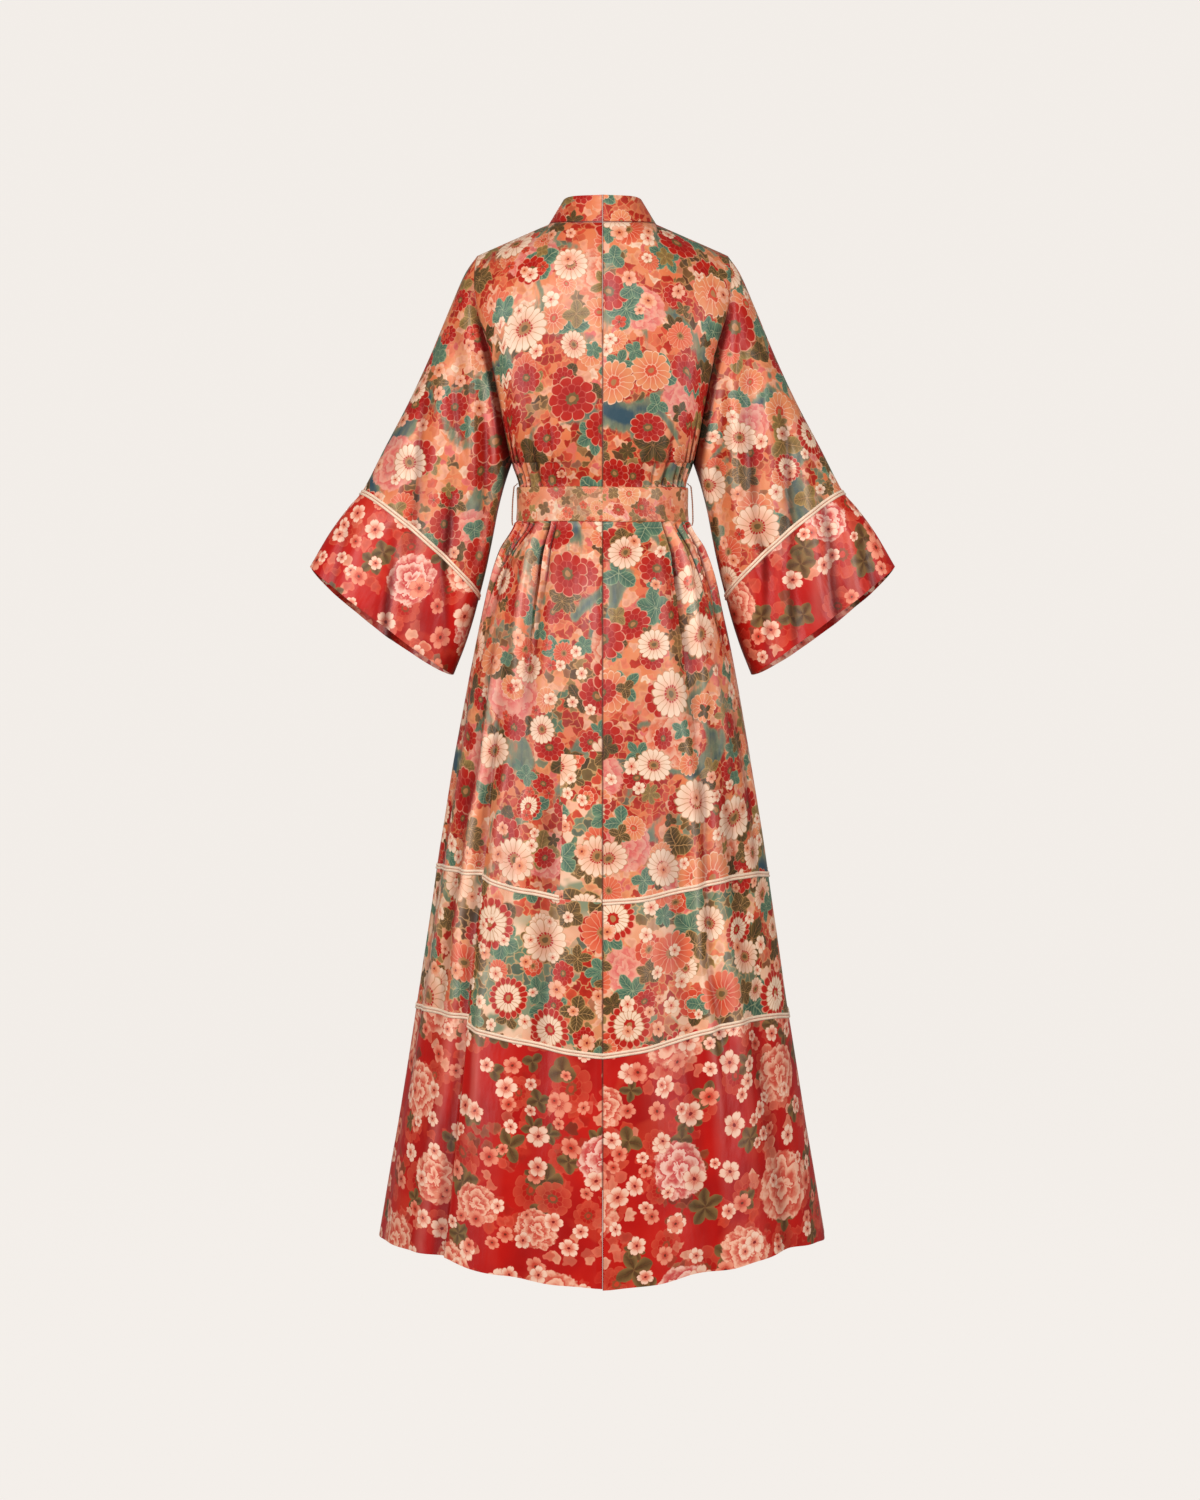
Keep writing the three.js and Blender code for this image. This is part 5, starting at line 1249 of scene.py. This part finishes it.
for side in (1, -1):
    tag = "left" if side == 1 else "right"
    over = side == 1
    back, back_lift, s1, s2, hem = back_grid(side)
    front, band, front_lift = front_grid(side, over)
    bn, fn = normals(back), normals(front)
    if bn[NY // 2, 5, 1] < 0:
        bn = -bn
    if fn[NY // 2, 5, 1] > 0:
        fn = -fn
    bn[:, 0, 0] = 0
    bn /= np.linalg.norm(bn, axis=-1, keepdims=True)
    share = bn[NY + 1:, -1] + fn[NY + 1:, 0]
    share /= np.linalg.norm(share, axis=-1, keepdims=True)
    bn[NY + 1:, -1] = share
    fn[NY + 1:, 0] = share
    lean = np.array([-SHOULDER_Z, 0, SHOULDER_X - NECK_HALF])
    lean /= np.linalg.norm(lean)
    fn[0, :] = lean
    bn[0, NECK_COLUMN:] = lean
    ubx, uby = arc(back, 1), arc(back, 0)
    ufx, ufy = arc(front, 1), arc(front, 0)
    seam_b = np.minimum(np.minimum(ubx, ubx[:, -1:] - ubx + 0.6), uby + 0.3)
    seam_f = np.minimum(np.minimum(ufx + 0.6, ufx[:, -1:] - ufx), ufy + 0.6)
    # painted shade in the folds and painted highlight on the ridges; where the sleeve hangs against the body, a band of
    # painted shade along the armhole
    painted_light_b, painted_light_f = valley(back, back_lift), valley(front, front_lift)
    painted_light_b = np.minimum(painted_light_b, lerp(3.4, 1.5, smooth(-430, -520, back[..., 2])))
    painted_light_f = np.minimum(painted_light_f, lerp(3.4, 1.5, smooth(-430, -520, front[..., 2])))
    # painted shade on the body along the armhole seam, wider lower down
    armhole_shade = smooth(-80, -215, back[..., 2]) * (1 - 0.6 * smooth(-317, -350, back[..., 2])) * (back[..., 2] > -480)
    wide = lerp(6.0, 15.0, smooth(-90, -300, back[..., 2]))
    painted_light_b = painted_light_b + 2.8 * armhole_shade * np.exp(-(((ubx[:, -1:] - ubx) / wide) ** 2))
    uby = uby - uby[NY][None, :]
    ufy = ufy - ufy[NY][None, :]
    shift = 0 if side == 1 else 2170
    ub = np.stack([(ubx + 40) * side + shift, -uby], -1)
    uf = np.stack([(ubx[:, -1:] + 40 + ufx) * side + shift + 300 * side, -ufy], -1)
    for tier, a, b, slot, lay in (("upper", 0, s1, "satin_print", "upper"), ("mid", s1, s2, "satin_mid", "mid"),
                                  ("hem", s2, hem, "satin_red", "red")):
        for word, grid, n, uv, sewn, fold in (("back", back, bn, ub, seam_b, painted_light_b), ("front", front, fn, uf, seam_f, painted_light_f)):
            g = grid[a:b + 1].copy()
            patch = None
            if word == "back":
                g[:, 0, 0] = GAP
                if side == 1 and tier == "upper":
                    # beside the centre-back seam a strip of the middle tier's print runs on upwards
                    z = g[:-1, :-1, 2]
                    strip = (ubx[a:b, 1:] < 57.5) & (z < -693)
                    patch = (strip, MATS["satin_mid"], "mid")
            name = f"{word}_{tag}_{tier}_cloth"
            o = shell(name, g, n[a:b + 1], uv[a:b + 1], THICK, side, MATS[slot], lay=lay, seam=sewn[a:b + 1], patch=patch,
                      fold=fold[a:b + 1])
            declare(o, f"{word}_{tag}_{tier}", g)

    # piping over the two tier seams; on the left the first one stops short of centre back
    c0 = int(np.searchsorted(ubx[s1], 57.5)) if side == 1 else 0
    piping(f"piping_back_{tag}_1_cord", f"piping_back_{tag}_1", back[:, c0:], bn[:, c0:], s1, side)
    piping(f"piping_back_{tag}_2_cord", f"piping_back_{tag}_2", back, bn, s2, side)
    piping(f"piping_front_{tag}_1_cord", f"piping_front_{tag}_1", front, fn, s1, side)
    piping(f"piping_front_{tag}_2_cord", f"piping_front_{tag}_2", front, fn, s2, side)

    # neck band
    turn = np.pi / 2 * np.arange(0, 24) / 24
    neck_rows = []
    for t in turn:
        x = NECK_HALF * math.sin(t)
        seam_point = np.array([x, NECK_BACK * math.cos(t), float(shoulder_line(np.array(x)))])
        ln = lerp(BAND_LEAN_BACK, BAND_LEAN, math.sin(t) ** 2)
        ln = ln / np.linalg.norm(ln)
        ln[1] -= 0.12 * math.sin(2 * t)
        ln = ln / np.linalg.norm(ln)
        neck_rows.append(seam_point + ln * BAND_WIDTH * BAND_COLS[:, None])
    collar = np.concatenate([np.array(neck_rows), band])
    cn = normals(collar)
    if cn[2, 4, 1] < 0:
        cn = -cn
    cn[0, :, 0] = 0
    cn /= np.linalg.norm(cn, axis=-1, keepdims=True)
    cuv = np.stack([arc(collar, 1) * side + 900, -arc(collar, 0)], -1)
    sewn = np.minimum(arc(collar, 1) + 0.2, arc(collar, 0))
    collar[0, :, 0] = GAP
    o = shell(f"neckband_{tag}_cloth", collar, cn, cuv, 1.6, side, MATS["satin_print"], out=0.3, lay="upper", seam=sewn)
    declare(o, f"neckband_{tag}", collar)

    # sleeve and cuff
    AROUND = 160
    ALONG = 126
    tube, tube_lift, spots = sleeve_grid(side, AROUND, ALONG)
    tn = normals(tube, True)
    if tn[20, 3 * AROUND // 4, 1] < 0:
        tn = -tn
    cut = int(np.argmin(np.abs(spots - CUFF_RING)))
    tuv = unrolled(tube, 3 * AROUND // 4) * (side, 1) + (2500 * side, 0)
    sewn = arc(tube, 0) + 1.0
    # painted shade in the sleeve's folds and painted highlight on its ridges
    fold = valley(tube, tube_lift, True)
    tz = tube[..., 2]
    # painted shade on the sleeve along the armhole seam
    fold = fold + 4.2 * np.exp(-((arc(tube, 0) / lerp(9.0, 25.0, smooth(-80, -280, tz))) ** 2)) * smooth(-60, -180, tz)
    # and the side next to the body lies in its shade
    run = arc(tube, 1)
    near = np.minimum(run, run[:, -1:] - run)
    fold = fold + 2.8 * np.exp(-((near / 24.0) ** 2)) * smooth(-130, -270, tz)
    # past the shade the satin catches the light in one long soft band
    off = np.minimum(arc(tube, 0), near + 60 * (1 - smooth(-250, -330, tz)))
    band = np.exp(-(((off - lerp(27.0, 44.0, smooth(-150, -380, tz)) - 3 * np.sin(tz / 31.0)) / 9.0) ** 2))
    fold = fold - 4.4 * band * smooth(-120, -210, tz) * (1 - smooth(-440, -540, tz)) * (0.8 + 0.35 * np.sin(tz / 23.0))
    g = tube[:cut + 1]
    o = shell(f"sleeve_{tag}_cloth", g, tn[:cut + 1], tuv[:cut + 1], THICK, side, MATS["satin_print"], closed=True,
              lay="upper", seam=sewn[:cut + 1], fold=fold[:cut + 1])
    declare(o, f"sleeve_{tag}", g, closed=True)
    g = tube[cut:]
    o = shell(f"cuff_{tag}_cloth", g, tn[cut:], tuv[cut:], THICK, side, MATS["satin_red"], closed=True,
              lay="red", seam=sewn[cut:], fold=fold[cut:])
    declare(o, f"cuff_{tag}", g, closed=True)
    piping(f"piping_sleeve_{tag}_cord", f"piping_sleeve_{tag}", tube, tn, cut, side, closed=True)

# ---- sash -------------------------------------------------------------------------------------
BELT_COLS = 220
BELT_ROWS = np.array([0, 0.6, 2.0, 4.0, 8, 14, 20, 26, 32, 38, 42, 44, 45.4, 46]) / 46
turn = 360 * np.arange(BELT_COLS) / BELT_COLS
signed = np.where(turn > 180, turn - 360, turn)
rows = []
for t in BELT_ROWS:
    z = lerp(BELT_TOP, BELT_BOTTOM, t)
    p = skirt(1, np.abs(signed), np.full(BELT_COLS, -372.0), True, plain=True)
    wide = half(z) / half(-372.0)
    p[:, 0] *= np.sign(signed + 1e-9) * wide
    p[:, 1] *= wide
    p[:, 2] = z + 0.5 * np.sin(np.radians(signed) * 2 + 0.6) + 0.35 * np.sin(np.radians(signed) * 5)
    rows.append(p)
belt = np.array(rows)
bl = np.stack([belt[..., 0] / 113**2, belt[..., 1] / 81**2, 0 * belt[..., 0]], -1)
bl /= np.linalg.norm(bl, axis=-1, keepdims=True)
roll = 3.1 - 1.3 * np.exp(-BELT_ROWS * 46 / 0.9) - 1.3 * np.exp(-(1 - BELT_ROWS) * 46 / 0.9)
pull = 0.45 * np.sin(np.radians(turn) * 9 + 1.0) * np.sin(np.pi * BELT_ROWS)[:, None] + 0.3 * np.sin(
    np.radians(turn) * 17 + 7 * BELT_ROWS[:, None])
belt = belt + bl * (roll[:, None] + 0.4 * pull)[..., None]
bn = normals(belt, True)
if bn[5, 0, 1] < 0:
    bn = -bn
buv = np.stack([arc(belt, 1) + 5000, -arc(belt, 0)], -1)
sewn = np.minimum(arc(belt, 0), arc(belt, 0)[-1:] - arc(belt, 0)) + 0.9
o = shell("belt_cloth", belt, bn, buv, 1.6, 1, MATS["satin_sash"], closed=True, lay="sash", seam=sewn)
declare(o, "belt", belt, closed=True)

# the knot: the sash wrapped once round itself, its pleats drawn in from both sides
KNOT_X, KNOT_Z = 14.0, -372.0
face = -float(skirt(1, front_angle(KNOT_X, -372.0), -372.0, True, plain=True)[1]) * -1
KN_U, KN_V = ((96, 56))
th = 2 * np.pi * np.arange(KN_U) / KN_U
ph = np.pi * (np.arange(KN_V + 1) / KN_V * 0.98 + 0.01)
th, ph = np.meshgrid(th, ph)
sx = np.sign(np.cos(th)) * np.abs(np.cos(th)) ** 0.8 * np.sin(ph) ** 0.75
sz = np.sign(np.cos(ph)) * np.abs(np.cos(ph)) ** 0.8
sn = np.abs(np.sin(th))
sy = np.where(np.sin(th) > 0, sn**0.45 * np.sin(ph) ** 0.35, -(sn**0.85) * np.sin(ph) ** 0.75)
lean = sz * 0.16
pleat = 1 + 0.035 * np.sin(9.0 * (sz + 0.45 * sx) + 0.6) * (0.4 + np.abs(sx)) - 0.10 * np.exp(-((sx - 0.55 - lean) / 0.12) ** 2) - 0.08 * np.exp(
    -((sx + 0.6 - lean) / 0.12) ** 2)
kx, ky, kz = 25.0 * sx * (1 + 0.06 * sz), 12.6 * sy * np.where(sy > 0, 1, pleat), 24.0 * sz * (0.86 + 0.14 * (1 - np.abs(sx)))
knot = np.stack([KNOT_X + kx + lean * 12, face - 16.6 + ky, KNOT_Z + kz], -1)
kn = normals(knot, True)
if (kn * (knot - knot.reshape(-1, 3).mean(0))).sum() < 0:
    kn = -kn
kuv = np.stack([arc(knot, 1) + 8000, -arc(knot, 0)], -1)
o = shell("belt_knot_cloth", knot, kn, kuv, 1.2, 1, MATS["satin_sash"], closed=True, lay="sash",
          seam=np.full(knot.shape[:2], 9.0))
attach(o, "root")
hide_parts("belt_knot")
float(area_of(knot, True)) * 0.98

# the two free ends: the folded sash hanging from the knot, gathered at the top
for tag, x0, slant, long, ph0 in (("left", 40.0, 0.1, 400.0, 0.4), ("right", -14.0, -0.08, 375.0, 2.2)):
    R, C = ((130, 22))
    t = np.arange(R + 1) / R
    w = np.linspace(-1, 1, C + 1)
    top = KNOT_Z - 26.0
    z = top - long * t
    spread = lerp(0.52, 1.0, smooth(0, 0.16, t))
    cx = x0 + slant * (top - z) + 1.5 * np.sin(3.1 * t + ph0)
    fd = front_depth(z) + raise_at(z) + 9.2
    T, W = np.meshgrid(t, w, indexing="ij")
    X = cx[:, None] + 22.0 * W * spread[:, None]
    fold = 2.4 * (1 - smooth(0.0, 0.5, T)) * np.cos(2.6 * np.pi * W + ph0) + 1.1 * np.sin(4.2 * T + ph0) * W
    Y = -fd[:, None] - 0.5 - 1.2 * (1 - W**2) + fold * 0.55
    Z = z[:, None] + 0 * W - 1.5 * W * (T > 0.98) * slant * 20
    end = np.stack([X, Y, Z], -1)
    en = normals(end)
    if en[5, 5, 1] > 0:
        en = -en
    euv = np.stack([arc(end, 1) + 6000 * (1 if tag == "left" else -1), -arc(end, 0)], -1)
    e1 = arc(end, 1)
    sewn = np.minimum(np.minimum(e1, e1[:, -1:] - e1), arc(end, 0)[-1:] - arc(end, 0)) + 0.9
    o = shell(f"belt_end_{tag}_cloth", end, en, euv, 1.5, 1, MATS["satin_sash"], lay="sash", seam=sewn)
    declare(o, f"belt_end_{tag}", end)

# thread loops at the side seams, bowed out round the sash
for side in (1, -1):
    tag = "left" if side == 1 else "right"
    K, A = 76, 10
    t = np.arange(K + 1) / K
    z = lerp(BELT_TOP + 5, BELT_BOTTOM - 6, t)
    ends = skirt(side, np.full(2, 90.0), z[[0, -1]], False)[:, 0] * 1.0 + 1.4
    clear = float(half(-372.0)) + 6.3 + 3.6 * t**0.8 + 0.8 * np.sin(np.pi * t)
    out_x = np.where(t < 0.5, lerp(ends[0], clear, smooth(0, 0.085, t)), lerp(ends[1], clear, 1 - smooth(0.9, 1.0, t)))
    a = 2 * np.pi * np.arange(A) / A
    r = 0.95 * (1 + 0.16 * np.cos(2 * (a[None] - 9.0 * 2 * np.pi * t[:, None])))
    X = out_x[:, None] + r * np.cos(a)
    Y = r * np.sin(a) + 0.6 * np.sin(2 * np.pi * t)[:, None]
    loop = np.stack([X, Y, z[:, None] + 0 * X], -1)
    ln = np.stack([np.cos(a) + 0 * X, np.sin(a) + 0 * X, 0 * X], -1)
    luv = np.stack([arc(loop, 1), arc(loop, 0)], -1)
    o = shell(f"belt_loop_{tag}_thread", loop, ln, luv, 0.5, side, MATS["thread"], closed=True)
    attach(o, "root")
    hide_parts(f"belt_loop_{tag}")

# ------------------------------------------------------------------------------------------------
# Camera, stage and light
# ------------------------------------------------------------------------------------------------
CAM = (0.0034, 3.0, -0.36641)
TILT = math.radians(6.5075036)
cam_data = bpy.data.cameras.new("camera")
cam_data.sensor_fit = "VERTICAL"
cam_data.sensor_height = 36.0
cam_data.sensor_width = 28.8
cam_data.lens = 52.6
cam_data.clip_end = 60
cam = bpy.data.objects.new("camera", cam_data)
cam.location = CAM
cam.rotation_euler = (math.pi / 2 - TILT, 0, math.pi)
bpy.context.scene.collection.objects.link(cam)
bpy.context.scene.camera = cam

world = bpy.data.worlds.new("studio")
bpy.context.scene.world = world
world.use_nodes = True
world.node_tree.nodes["Background"].inputs["Color"].default_value = (0.95, 0.93, 0.91, 1)
world.node_tree.nodes["Background"].inputs["Strength"].default_value = 0.17

FLOOR = -2.3
prof = [(0.0, 0.0), (2.0, 0.0), (5.0, 0.0), (6.4, 0.12), (7.5, 0.6), (8.3, 1.5), (8.7, 3.0), (8.8, 6.0), (8.8, 11.0)]
verts, faces, around = [], [], 72
for k in range(around):
    a = 2 * math.pi * k / around
    verts += [(r * math.cos(a), r * math.sin(a), FLOOR + z) for r, z in prof]
for k in range(around):
    a, b = k * len(prof), (k + 1) % around * len(prof)
    faces += [(a + q, a + q + 1, b + q + 1, b + q) for q in range(len(prof) - 1)]
m = bpy.data.meshes.new("sweep")
m.from_pydata(verts, [], faces)
for p in m.polygons:
    p.use_smooth = True
sweep = bpy.data.objects.new("sweep", m)
bpy.context.scene.collection.objects.link(sweep)
paper = bpy.data.materials.new("paper")
paper.use_nodes = True
b = paper.node_tree.nodes["Principled BSDF"]
b.inputs["Base Color"].default_value = (0.02, 0.02, 0.02, 1)
b.inputs["Roughness"].default_value = 1.0
b.inputs["Specular IOR Level"].default_value = 0.0
b.inputs["Emission Color"].default_value = (*srgb(242, 237, 232), 1)
b.inputs["Emission Strength"].default_value = 0.998
m.materials.append(paper)
paper.cycles.emission_sampling = "NONE"
sweep.visible_diffuse = False
sweep.visible_glossy = False
sweep.visible_shadow = False


def lamp(name, loc, aim, size, power, color=(1, 1, 1)):
    d = bpy.data.lights.new(name, "AREA")
    d.shape = "RECTANGLE"
    d.size, d.size_y = size
    d.energy = power
    d.color = color
    o = bpy.data.objects.new(name, d)
    o.location = loc
    v = Vector(aim) - Vector(loc)
    o.rotation_mode = "QUATERNION"
    o.rotation_quaternion = v.to_track_quat("-Z", "Y")
    bpy.context.scene.collection.objects.link(o)
    return o


lamp("key", (0.4, 3.0, 1.0), (0, 0, -0.72), (0.9, 1.5), 59, (1, 0.99, 0.97))
lamp("side_left", (2.2, 2.1, -0.2), (0, 0, -0.72), (0.5, 2.4), 41)
lamp("side_right", (-2.2, 2.1, -0.2), (0, 0, -0.72), (0.5, 2.4), 41)
# for the side that faces away; they stay out of the edges' reflections
for o in (lamp("front_soft", (0.9, -3.0, 0.8), (0, 0, -0.7), (1.0, 1.8), 70), lamp("front_fill", (-1.6, -2.8, 0.0), (0, 0, -0.7), (0.8, 2.0), 30)):
    o.visible_glossy = False

bpy.context.scene.view_settings.view_transform = "Standard"
